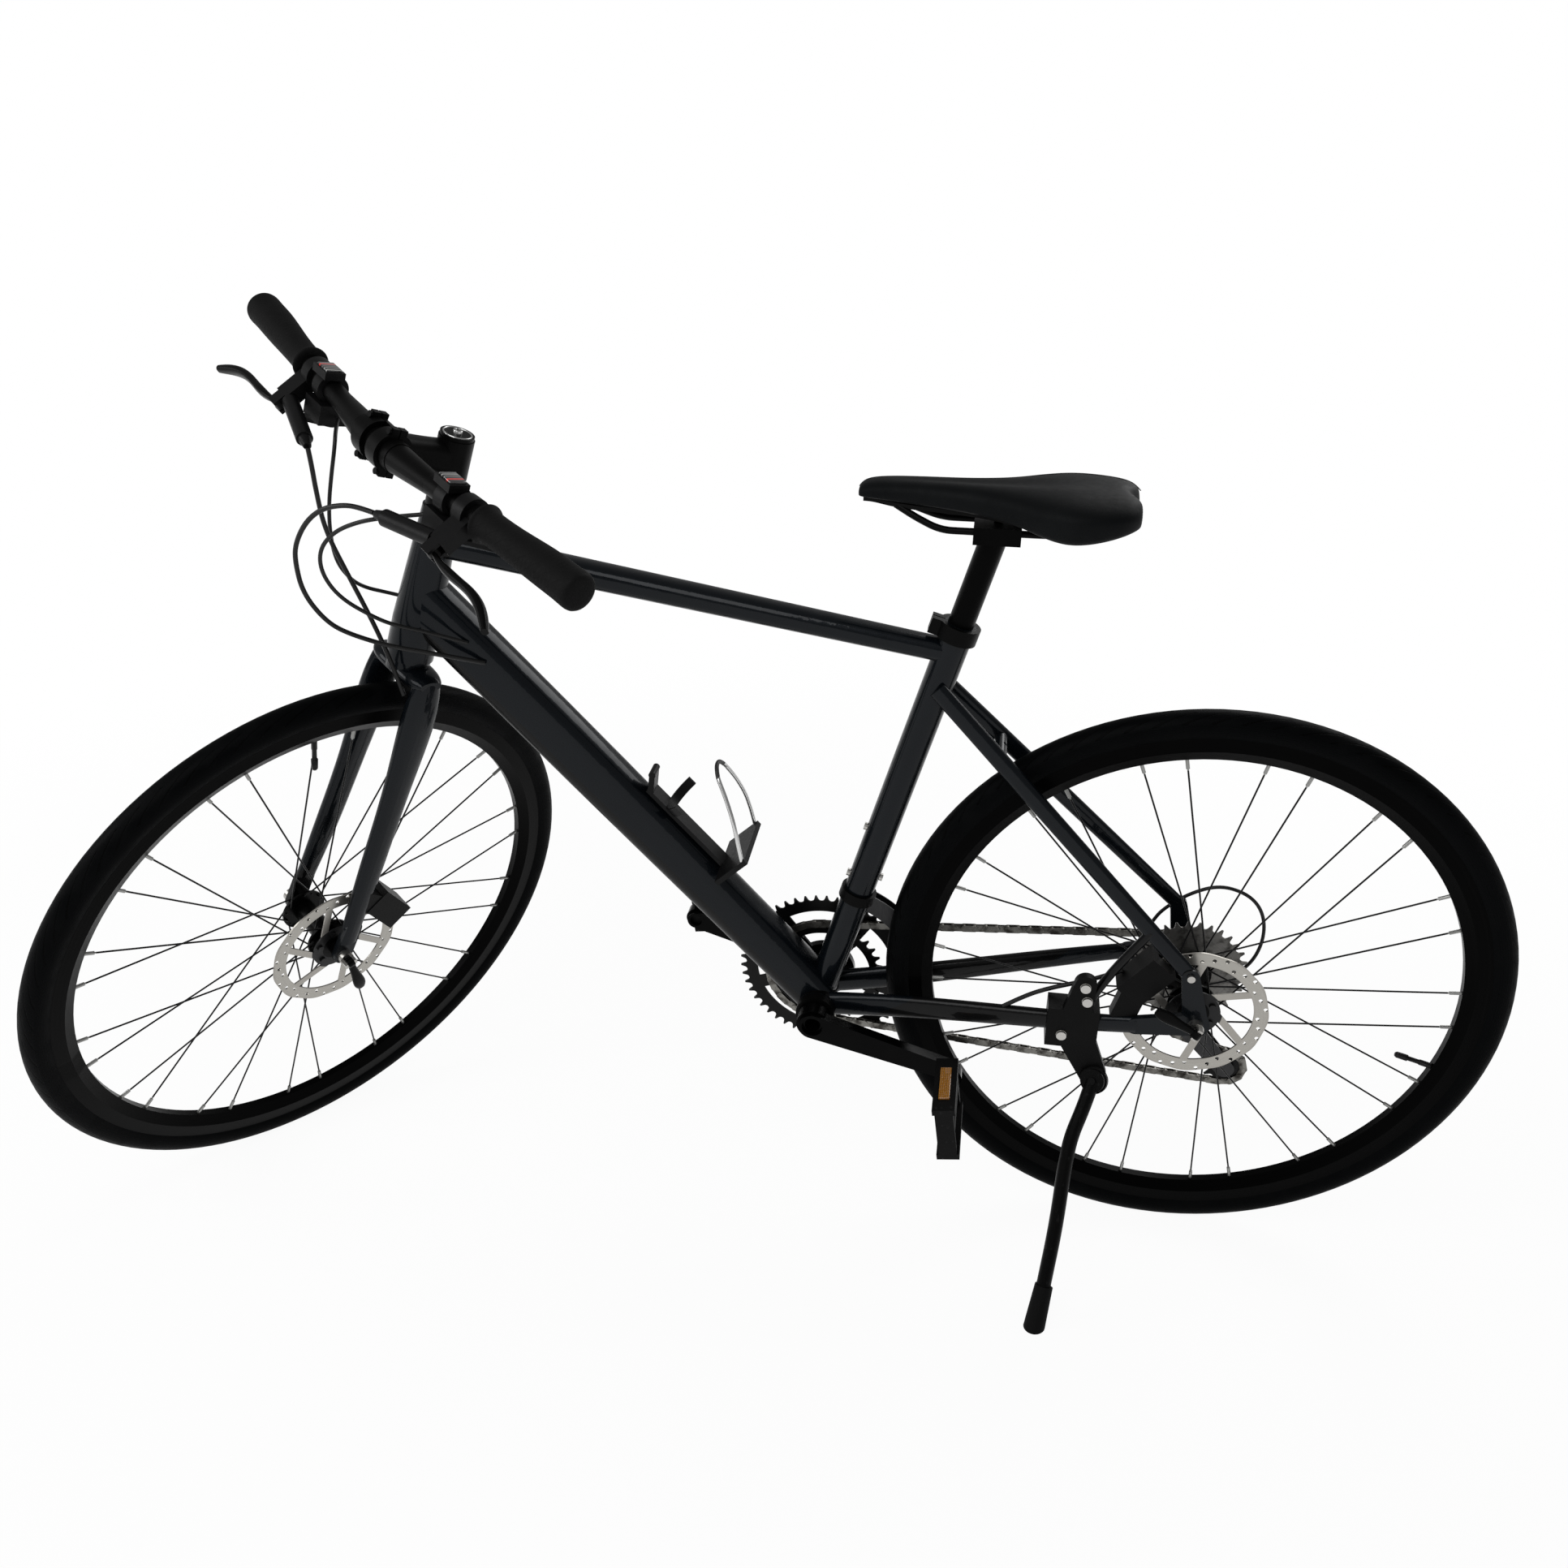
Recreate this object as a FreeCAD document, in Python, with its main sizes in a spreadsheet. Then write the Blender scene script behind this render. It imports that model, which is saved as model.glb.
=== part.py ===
import FreeCAD, Part
import Sketcher
import math
import os
from types import SimpleNamespace

# A flat-bar hybrid bike with disc brakes, leaning on its kickstand with the front wheel turned to the left.
# Every piece is drawn on the upright, straight bike: origin at the rear axle's centre, X ahead, Y left, Z up.
# At the end the front end is steered and the whole bike is leaned until both tyres and the foot stand on Z = 0.

V = FreeCAD.Vector
AHEAD, LEFT, UP = V(1, 0, 0), V(0, 1, 0), V(0, 0, 1)
SIDES = (1, -1)
FULL_TURN = 360

doc = FreeCAD.newDocument("HybridBike")
sheet = doc.addObject("Spreadsheet::Sheet", "Sizes")

# Driving dimensions in millimetres, with angles in degrees and counts as plain numbers.
DRIVING = {
    # clearances shared by all pieces
    "running_gap": 0.3, "bearing_gap": 0.05, "overrun": 15,
    # stance of the bike
    "lean_angle": 7, "steer_angle": 55.5, "stem_skew": -4.5, "ground_depth": 60,
    # frame layout
    "wheelbase": 1046, "bb_ahead": 420, "bb_drop": 60, "seat_angle": 74.1, "head_angle": 71.5, "fork_rake": 47,
    "tube_wall": 2.2,
    # head tube, measured along the steering axis from the point level with the front axle
    "head_low": 378, "head_high": 556, "head_low_radius": 26, "head_high_radius": 19.5, "head_bell": 45,
    "cup_height": 7, "steerer_radius": 14.3,
    # top tube
    "top_tube_head": 517, "top_tube_seat": 466, "top_tube_front_depth": 30, "top_tube_front_width": 37,
    "top_tube_rear_depth": 24, "top_tube_rear_width": 29,
    # down tube
    "down_tube_head": 450, "down_tube_depth": 59, "down_tube_width": 47, "down_tube_low_depth": 50,
    "down_tube_low_width": 56,
    # seat tube
    "seat_tube_radius": 16.8, "seat_tube_length": 498, "seatpost_radius": 13.6,
    # bottom bracket
    "shell_radius": 21, "shell_width": 68, "shell_wall": 4, "bb_cup_radius": 22.5, "bb_cup_width": 10,
    "spindle_radius": 12, "spindle_bore": 9,
    # stays and dropouts
    "rear_spacing": 135, "dropout_thickness": 7, "dropout_radius": 15, "stay_end_ahead": 62, "stay_end_drop": 9,
    "stay_end_depth": 21, "stay_end_width": 10, "stay_root_half": 22, "stay_root_depth": 29, "stay_root_width": 18,
    "stay_waist_ahead": 345, "stay_waist_half": 28, "stay_waist_width": 15, "seatstay_top": 428,
    "seatstay_half_top": 17, "seatstay_depth": 19, "seatstay_width": 13, "seatstay_end_up": 62,
    "seatstay_end_ahead": 13, "bridge_share_up": 0.24, "bridge_radius": 7, "bridge_hole_radius": 2.5,
    "hanger_back": 9, "hanger_drop": 28, "hanger_radius": 10, "brace_radius": 5, "brace_share_up": 0.16,
    "brace_share_ahead": 0.45,
    # seat clamp and front derailleur band
    "collar_radius": 21.5, "collar_height": 17, "collar_ear": 17, "collar_slot": 2, "band_radius": 20.5,
    "band_height": 13, "band_up": 150,
    # saddle and seatpost
    "post_top_up": 604, "post_bottom_up": 300, "saddle_length": 272, "saddle_width": 146, "saddle_ahead": 137.5,
    "saddle_rise": 47, "saddle_skirt": 34, "saddle_shell_thick": 4,
    "rail_radius": 3.5, "rail_half_gap": 21, "rail_up": 2.1, "cradle_length": 46, "cradle_width": 56,
    "cradle_height": 11, "yoke_height": 6, "rail_front": 100,
    # fork and front end
    "fork_spacing": 100, "fork_end_thickness": 7, "crown_up": 363, "crown_half_height": 11, "crown_half_depth": 22,
    "crown_race": 4, "leg_half_gap": 39, "leg_half_depth": 21, "leg_half_width": 11.5, "leg_low_half_depth": 12,
    "leg_low_half_width": 7, "steerer_top": 634, "spacer_radius": 17.5, "stem_height": 42, "stem_radius": 18.5,
    "stem_reach": 81.3, "stem_half_depth": 17, "bar_up": 624, "bar_clamp_radius": 21, "bar_clamp_width": 46,
    "cap_height": 4, "plate_slot": 5, "plate_ear": 8,
    "bar_radius": 15.9, "bar_end_radius": 11.1, "bar_centre_half": 34, "bar_taper_end": 92, "bar_half": 313,
    "bar_back": 19.4, "bar_rise": 11.3, "grip_length": 140, "grip_radius": 16, "grip_flange": 19, "grip_swell": 2.2,
    # hand controls
    "control_tilt": 45, "clamp_place": 152, "clamp_width": 15, "clamp_radius": 16.5, "cylinder_radius": 8.5,
    "cylinder_root_place": 148, "cylinder_root_out": 40.5, "cylinder_tip_place": 84, "cylinder_tip_out": 53,
    "lever_pivot_place": 158, "lever_pivot_out": 49, "lever_knuckle_radius": 7, "lever_knuckle_height": 9,
    "lever_pin_radius": 2.5, "blade_half_height": 5.5, "blade_half_depth": 4.2, "ear_thickness": 3,
    "pod_place": 123, "pod_width": 34, "pod_length": 36, "pod_height": 21, "pod_drop": 24, "pod_ahead": -2,
    "pod_pin_back": 8,
    "window_height": 8, "window_length": 22, "blade_reach": 117, "blade_sweep": 29,
    "shifter_pin_place": 128, "shift_lever_length": 40, "shift_lever_width": 13, "shift_lever_thick": 4,
    "release_lever_length": 26, "shift_heading": 143, "release_heading": 30,
    # wheels
    "tyre_radius": 343, "tyre_width": 32, "tyre_wall": 3, "rim_top_radius": 316, "rim_depth": 27, "rim_width": 23.4,
    "rim_nose_width": 9, "rim_wall": 2, "rim_shoulder": 15, "spoke_radius": 1, "nipple_radius": 2,
    "nipple_length": 13, "spoke_pairs": 14, "spoke_pair_angle": 9.2, "lacing_steps": 2, "spoke_stand": 1,
    "axle_radius": 4.5, "hub_end_radius": 9.5, "hub_shell_radius": 13, "flange_radius": 27, "flange_width": 3,
    "spoke_circle": 23.5, "front_left_flange": 22, "front_right_flange": 33, "rear_left_flange": 34,
    "rear_right_flange": 18.5, "freehub_radius": 17,
    # brakes
    "rotor_radius": 80, "rotor_wave": 1.2, "rotor_waves": 12, "rotor_thickness": 1.8, "rotor_band": 16,
    "rotor_bore": 17, "rotor_seat_radius": 25, "rotor_seat_width": 4, "rotor_carrier": 29, "rotor_arms": 6,
    "rotor_arm_width": 8, "rotor_arm_slant": 32, "rotor_hole_radius": 2.3, "rotor_bolt_circle": 22,
    "rotor_bolt_radius": 3.6, "rotor_bolt_height": 2.6, "front_rotor_place": 38.5, "rear_rotor_place": 51.2,
    "caliper_length": 54, "caliper_width": 31, "caliper_depth": 34, "caliper_shift": 4.5, "caliper_out": 74,
    "pad_thickness": 1.6, "pad_length": 26, "pad_depth": 18, "front_caliper_angle": 152, "rear_caliper_angle": 39,
    "front_bracket_turn": 18, "rear_bracket_turn": 24, "bracket_length": 50, "bracket_width": 15, "bracket_depth": 27,
    # drive
    "chain_pitch": 12.7, "roller_radius": 3.85, "link_height": 8.4, "plate_thickness": 0.75, "inner_plate_gap": 2.2,
    "plate_play": 0.1, "pin_radius": 1.75, "pin_over": 0.15, "seat_play": 0.25, "tooth_height": 3.1,
    "tooth_tip": 1.8, "cog_thickness": 1.6, "cog_pitch": 3.95, "small_cog_place": 62, "spacer_ring": 20,
    "chain_teeth_ring": 34, "chain_cog": 5, "outer_ring_teeth": 50, "ring_thickness": 2, "ring_spacing": 6.25,
    "ring_band": 14, "inner_ring_band": 9, "bolt_circle": 55, "tab_radius": 8.5, "spider_arms": 5, "spider_width": 16,
    "ring_bolt_radius": 4.6, "ring_bolt_height": 1.2, "crank_length": 168, "crank_angle": 16, "boss_radius": 19,
    "boss_inner": 46.3, "boss_outer": 64, "eye_radius": 13, "eye_inner": 62, "eye_outer": 77, "crank_half_width": 16, "crank_end_half_width": 10.5,
    "crank_half_thick": 6.5, "pedal_axle_radius": 7.1, "pedal_tilt": 8, "pedal_gap": 1, "pedal_length": 88,
    "pedal_half_span": 31, "pedal_plate": 7, "pedal_height": 25, "pedal_barrel_radius": 10, "pedal_neck": 6,
    # derailleurs
    "pulley_teeth": 11, "guide_back": 12, "guide_drop": 83, "cage_length": 81, "cage_angle_guess": 231,
    "cage_plate_thickness": 1.6, "cage_half_gap": 4.6, "cage_plate_radius": 14, "pulley_hub_radius": 6,
    "pulley_bolt_radius": 2.5, "pulley_thickness": 2, "link_ahead": 20, "link_drop": 32, "link_slope": 0.6,
    "link_radius": 5, "link_eye": 12, "knuckle_radius": 11, "knuckle_width": 12, "link_out": 28, "link_ear": 12, "link_arm_radius": 4, "knuckle_pin_radius": 3, "body_radius": 10,
    "fd_plate_thickness": 1.5, "fd_half_gap": 5.5, "fd_low_radius": 108, "fd_high_radius": 130, "fd_start_angle": 100,
    "fd_end_angle": 146, "fd_arm": 9,
    # kickstand
    "pivot_ahead": 101, "pivot_half": 86, "pivot_drop": 81, "lug_radius": 15, "lug_thickness": 9,
    "stand_bolt_radius": 4, "leg_eye_thickness": 9, "leg_eye_radius": 13, "stand_clamp_ahead": 130,
    "stand_clamp_length": 56, "stand_clamp_height": 50, "stand_clamp_half_width": 15, "stand_horn_up": 40,
    "stand_clamp_half": 62, "stand_clamp_drop": 19, "leg_bow": 9,
    "leg_flat_half": 11, "leg_rod_radius": 8, "foot_radius": 13.5, "foot_top_radius": 10, "foot_length": 46,
    "foot_ahead": 145, "foot_half": 231.5,
    # bottle cage, placed along the down tube from the crank axis
    "bottle_radius": 37, "cage_low": 198, "cage_high": 326, "cage_spine_width": 22, "cage_spine_thick": 5,
    "cage_shelf_thick": 6, "cage_shelf_half": 45, "cage_shelf_height": 46, "cage_hook": 20, "cage_band_up": 292,
    "cage_band_width": 11, "cage_band_thick": 2.4, "cage_wire_radius": 2.4, "cage_wire_angle": 47,
    "cage_rib_radius": 4, "cage_stand": 2,
    # fasteners and cables
    "seat_boss_low": 173, "seat_boss_high": 237, "cable_stop_up": 180, "screw_head_radius": 4.2, "screw_head_height": 3.2, "nut_radius": 9, "nut_width": 9, "cam_radius": 8.5,
    "cam_width": 8, "cam_ear": 3, "qr_pin_radius": 2, "qr_head_radius": 6, "qr_head_width": 8, "qr_length": 52,
    "qr_half_width": 6.5, "qr_half_thick": 3.2, "front_qr_angle": 262, "rear_qr_angle": 30, "hose_radius": 2.5,
    "housing_radius": 2.1, "wire_radius": 0.8,
}
for row, (alias, value) in enumerate(DRIVING.items(), 1):
    sheet.set(f"A{row}", alias)
    sheet.set(f"B{row}", str(value))
    sheet.setAlias(f"B{row}", alias)
doc.recompute()


class Size(float):
    """A number that remembers the spreadsheet formula that gives it."""

    def __new__(cls, value, formula):
        size = super().__new__(cls, value)
        size.formula = formula
        return size

    def __add__(self, other):
        return Size(float(self) + float(other), f"({self.formula} + {formula_of(other)})")

    def __radd__(self, other):
        return Size(float(other) + float(self), f"({formula_of(other)} + {self.formula})")

    def __sub__(self, other):
        return Size(float(self) - float(other), f"({self.formula} - {formula_of(other)})")

    def __rsub__(self, other):
        return Size(float(other) - float(self), f"({formula_of(other)} - {self.formula})")

    def __mul__(self, other):
        if isinstance(other, FreeCAD.Vector):
            return other * float(self)
        return Size(float(self) * float(other), f"({self.formula} * {formula_of(other)})")

    def __rmul__(self, other):
        return Size(float(other) * float(self), f"({formula_of(other)} * {self.formula})")

    def __truediv__(self, other):
        return Size(float(self) / float(other), f"({self.formula} / {formula_of(other)})")

    def __neg__(self):
        return Size(-float(self), f"(0 - {self.formula})")


def formula_of(number):
    """The spreadsheet formula of a size, or a plain number written out."""
    return number.formula if isinstance(number, Size) else repr(float(number))


S = SimpleNamespace(**{alias: Size(sheet.get(alias), f"Sizes.{alias}") for alias in DRIVING})


# Ways to make pieces

def bind(piece, **sizes):
    """Gives a piece its sizes and ties each to the spreadsheet."""
    for name, size in sizes.items():
        setattr(piece, name, float(size))
        if isinstance(size, Size):
            piece.setExpression(name, size.formula)
    return piece


def facing(along):
    """The turn that points Z along a direction."""
    return FreeCAD.Rotation(UP, along)


def rod(radius, length, foot, along):
    """A round bar that starts at foot."""
    bar = bind(doc.addObject("Part::Cylinder", "Rod"), Radius=radius, Height=length)
    bar.Placement = FreeCAD.Placement(foot, facing(along))
    return bar


def drum(radius, length, centre, along):
    """A round bar about its own middle."""
    return rod(radius, length, centre - along * (length / 2), along)


def cone(low_radius, high_radius, length, foot, along):
    taper = bind(doc.addObject("Part::Cone", "Taper"), Radius1=low_radius, Radius2=high_radius, Height=length)
    taper.Placement = FreeCAD.Placement(foot, facing(along))
    return taper


def hoop(radius, section, centre, along):
    torus = bind(doc.addObject("Part::Torus", "Hoop"), Radius1=radius, Radius2=section)
    torus.Placement = FreeCAD.Placement(centre, facing(along))
    return torus


def block(length, width, height, centre, turn=FreeCAD.Rotation()):
    """A box about its own middle, with its length, width and height along the turned X, Y and Z."""
    box = bind(doc.addObject("Part::Box", "Block"), Length=length, Width=width, Height=height)
    box.Placement = FreeCAD.Placement(centre - turn.multVec(V(length / 2, width / 2, height / 2)), turn)
    return box


def cut(base, *tools):
    """A piece with others taken away from it, one after the other."""
    for tool in tools:
        piece = doc.addObject("Part::Cut", "Cut")
        piece.Base = base
        piece.Tool = tool
        base = piece
    return base


def fuse(*pieces):
    joined = doc.addObject("Part::MultiFuse", "Joined")
    joined.Shapes = list(pieces)
    return joined


def group(*pieces):
    """Separate solids kept together in one sub-part."""
    together = doc.addObject("Part::Compound", "Group")
    together.Links = list(pieces)
    return together


def formed(shape):
    """A lofted, swept or outlined shape as a piece."""
    piece = doc.addObject("Part::Feature", "Formed")
    piece.Shape = shape
    return piece


def ring(outer, inner, length, centre, along):
    return cut(drum(outer, length, centre, along), drum(inner, length + S.overrun, centre, along))


def turned(name, outline):
    """A body turned about the Y axis from an outline of (radius, place along the axis)."""
    body = doc.addObject("PartDesign::Body", name)
    sketch = body.newObject("Sketcher::SketchObject", name + "Profile")
    plane = next(origin for origin in body.Origin.OriginFeatures if origin.Role == "XY_Plane")
    sketch.AttachmentSupport = [(plane, "")]
    sketch.MapMode = "FlatFace"
    corners = [V(radius, place, 0) for radius, place in outline]
    for start, end in zip(corners, corners[1:] + corners[:1]):
        sketch.addGeometry(Part.LineSegment(start, end), False)
    count = len(outline)
    for line in range(count):
        sketch.addConstraint(Sketcher.Constraint("Coincident", line, 2, (line + 1) % count, 1))
    for line, (radius, place) in enumerate(outline):
        tie(sketch, "DistanceX", line, radius)
        tie(sketch, "DistanceY", line, place)
    turn = body.newObject("PartDesign::Revolution", name + "Turn")
    turn.Profile = sketch
    turn.ReferenceAxis = (sketch, ["V_Axis"])
    turn.Angle = FULL_TURN
    return body


def tie(sketch, kind, line, size):
    """Holds the start of a sketch line at a distance from the sketch's origin."""
    if size < 0:
        number = sketch.addConstraint(Sketcher.Constraint(kind, line, 1, -1, 1, -float(size)))
        sketch.setExpression(f"Constraints[{number}]", formula_of(-size))
    else:
        number = sketch.addConstraint(Sketcher.Constraint(kind, -1, 1, line, 1, float(size)))
        sketch.setExpression(f"Constraints[{number}]", formula_of(size))


def oval(centre, across, over, half_across, half_over, square_share=1.0):
    """A closed smooth section: an ellipse at a share of 1, and nearer to a rectangle as the share falls."""
    points = []
    steps = 16
    for step in range(steps):
        angle = math.tau * (step + 0.5) / steps
        reach = math.copysign(abs(math.cos(angle)) ** square_share, math.cos(angle))
        rise = math.copysign(abs(math.sin(angle)) ** square_share, math.sin(angle))
        points.append(centre + across * (half_across * reach) + over * (half_over * rise))
    curve = Part.BSplineCurve()
    curve.interpolate(points, PeriodicFlag=True)
    return Part.Wire(curve.toShape())


def loft(sections):
    return Part.makeLoft(sections, True, False)


def unit(vector):
    return V(vector).normalize()


def cord(points, radius, with_length=False):
    """A round tube on straight runs joined by tangent arcs, each as large as its two runs allow."""
    run_share = 0.45
    edges, bends = [], []
    last = points[0]
    for before, corner, after in zip(points, points[1:], points[2:]):
        back, on = unit(before - corner), unit(after - corner)
        shorter = min((before - corner).Length, (after - corner).Length)
        start, end = corner + back * (run_share * shorter), corner + on * (run_share * shorter)
        half = back.getAngle(on) / 2
        arc_radius = run_share * shorter * math.tan(half)
        middle = corner + unit(back + on) * (arc_radius / math.sin(half) - arc_radius)
        edges.append(Part.LineSegment(last, start).toShape())
        edges.append(Part.Arc(start, middle, end).toShape())
        bends.append(arc_radius)
        last = end
    edges.append(Part.LineSegment(last, points[-1]).toShape())
    path = Part.Wire(edges)
    profile = Part.Wire(Part.Circle(points[0], points[1] - points[0], radius).toShape())
    tube = path.makePipeShell([profile], True, False)
    return (tube, path.Length, min(bends)) if with_length else tube


def slab(wires, thickness):
    """A plate from outlines in the XZ plane, about Y = 0."""
    face = Part.makeFace(wires, "Part::FaceMakerBullseye")
    face.translate(LEFT * (-thickness / 2))
    return face.extrude(LEFT * thickness)


def circle(radius, x=0, z=0):
    return Part.Wire(Part.Circle(V(x, 0, z), LEFT, radius).toShape())


def slot_outline(ends, radius):
    """A long hole's outline in the XZ plane, round two points."""
    first, second = ends
    on = unit(second - first)
    off = V(-on.z, 0, on.x) * radius
    return Part.Wire([
        Part.LineSegment(first + off, second + off).toShape(),
        Part.Arc(second + off, second + on * radius, second - off).toShape(),
        Part.LineSegment(second - off, first - off).toShape(),
        Part.Arc(first - off, first - on * radius, first + off).toShape(),
    ])


PARTS = {}


def sub_part(label, piece, moves="bike", at=V(0, 0, 0)):
    """Names a finished sub-part and says how it is placed at the end."""
    placed = group(piece)
    placed.Label = label
    PARTS[label] = (placed, moves, at)
    return piece


# Layout of the bike

def degrees(angle):
    return math.radians(float(angle))


CRANK_AXIS = V(S.bb_ahead, 0, -S.bb_drop)
SEAT = V(-math.cos(degrees(S.seat_angle)), 0, math.sin(degrees(S.seat_angle)))
HEAD = V(-math.cos(degrees(S.head_angle)), 0, math.sin(degrees(S.head_angle)))
HEAD_AHEAD = V(HEAD.z, 0, -HEAD.x)
FRONT_AXLE = V(S.wheelbase, 0, 0)
FORK_FOOT = FRONT_AXLE - HEAD_AHEAD * S.fork_rake
AXLE_END = S.rear_spacing / 2


def on_head(up, ahead=0, left=0):
    """A point of the straight front end, from the steering axis level with the front axle."""
    return FORK_FOOT + HEAD * up + HEAD_AHEAD * ahead + LEFT * left


def on_seat(up, left=0):
    return CRANK_AXIS + SEAT * up + LEFT * left


# Frame tubes

def head_tube():
    """Tapered head tube with the two bearing cups that carry the steerer."""
    length = S.head_high - S.head_low - S.head_bell
    body = fuse(
        rod(S.head_low_radius, S.head_bell, on_head(S.head_low), HEAD),
        cone(S.head_low_radius, S.head_high_radius, length, on_head(S.head_low + S.head_bell), HEAD),
    )
    bore_radius = S.steerer_radius + S.tube_wall
    body = cut(body, drum(bore_radius, S.head_high, on_head((S.head_low + S.head_high) / 2), HEAD))
    cups = [
        ring(bore_radius, S.steerer_radius + S.bearing_gap, S.cup_height, on_head(place), HEAD)
        for place in (S.head_low + S.cup_height / 2, S.head_high - S.cup_height / 2)
    ]
    sub_part("head_tube", group(body, *cups))


def head_outside():
    """The head tube's outside, which the tubes that meet it are cut back to."""
    length = S.head_high - S.head_low - S.head_bell
    return fuse(
        rod(S.head_low_radius, S.head_bell, on_head(S.head_low), HEAD),
        cone(S.head_low_radius, S.head_high_radius, length, on_head(S.head_low + S.head_bell), HEAD),
    )


def frame_tube(start, end, sections, square_share):
    """A hollow shaped tube between two points; each section is (share along, half depth, half width)."""
    along = unit(end - start)
    over = V(-along.z, 0, along.x)
    solids = []
    for wall in (0, S.tube_wall):
        wires = []
        for share, half_depth, half_width in sections:
            centre = start + (end - start) * share
            wires.append(oval(centre, LEFT, over, half_width - wall, half_depth - wall, square_share))
        solids.append(loft(wires))
    return cut(formed(solids[0]), formed(solids[1]))


DOWN_START = CRANK_AXIS
DOWN_END = on_head(S.down_tube_head)
DOWN = unit(DOWN_END - DOWN_START)
DOWN_OVER = V(-DOWN.z, 0, DOWN.x)
DOWN_LENGTH = (DOWN_END - DOWN_START).Length


def main_tubes():
    """Top, down and seat tubes with the bottom bracket shell, coped to each other."""
    shell = drum(S.shell_radius, S.shell_width, CRANK_AXIS, LEFT)
    seat_outside = rod(S.seat_tube_radius, S.seat_tube_length, CRANK_AXIS, SEAT)
    seat_bore = rod(S.seatpost_radius + S.bearing_gap, S.seat_tube_length + S.overrun, CRANK_AXIS, SEAT)
    sub_part("seat_tube", cut(seat_outside, seat_bore, shell))

    head_half, head_wide = S.top_tube_front_depth / 2, S.top_tube_front_width / 2
    seat_half, seat_wide = S.top_tube_rear_depth / 2, S.top_tube_rear_width / 2
    top_square_share = 0.82
    top_sections = [(0, head_half, head_wide), (0.5, (head_half + seat_half) / 2, (head_wide + seat_wide) / 2),
                    (1, seat_half, seat_wide)]
    top = frame_tube(on_head(S.top_tube_head), on_seat(S.top_tube_seat), top_sections, top_square_share)
    sub_part("top_tube", cut(top, head_outside(), seat_outside))

    deep, wide = S.down_tube_depth / 2, S.down_tube_width / 2
    low_deep, low_wide = S.down_tube_low_depth / 2, S.down_tube_low_width / 2
    down_square_share = 0.62
    down_sections = [(0, low_deep, low_wide), (0.45, deep, wide), (1, deep, wide)]
    down = frame_tube(DOWN_START, DOWN_END, down_sections, down_square_share)
    down_piece = sub_part("down_tube", cut(down, head_outside(), seat_outside, shell))

    bore = drum(S.shell_radius - S.shell_wall, S.shell_width + S.overrun, CRANK_AXIS, LEFT)
    cups = []
    for side in SIDES:
        face = CRANK_AXIS + LEFT * (side * (S.shell_width / 2 + S.bb_cup_width / 2))
        cups.append(ring(S.bb_cup_radius, S.spindle_radius + S.bearing_gap, S.bb_cup_width, face, LEFT))
    sub_part("bottom_bracket", group(cut(shell, bore), *cups))
    return down_piece


BRIDGE_TOP = on_seat(S.seatstay_top, S.seatstay_half_top)
BRIDGE_FOOT = V(S.seatstay_end_ahead, AXLE_END + S.dropout_thickness / 2, S.seatstay_end_up)
BRIDGE_POINT = BRIDGE_TOP + (BRIDGE_FOOT - BRIDGE_TOP) * S.bridge_share_up
BRIDGE_MIDDLE = V(BRIDGE_POINT.x, 0, BRIDGE_POINT.z)
BRIDGE_AXIS = unit(V(BRIDGE_FOOT.x - BRIDGE_TOP.x, 0, BRIDGE_FOOT.z - BRIDGE_TOP.z)).cross(LEFT)


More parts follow.
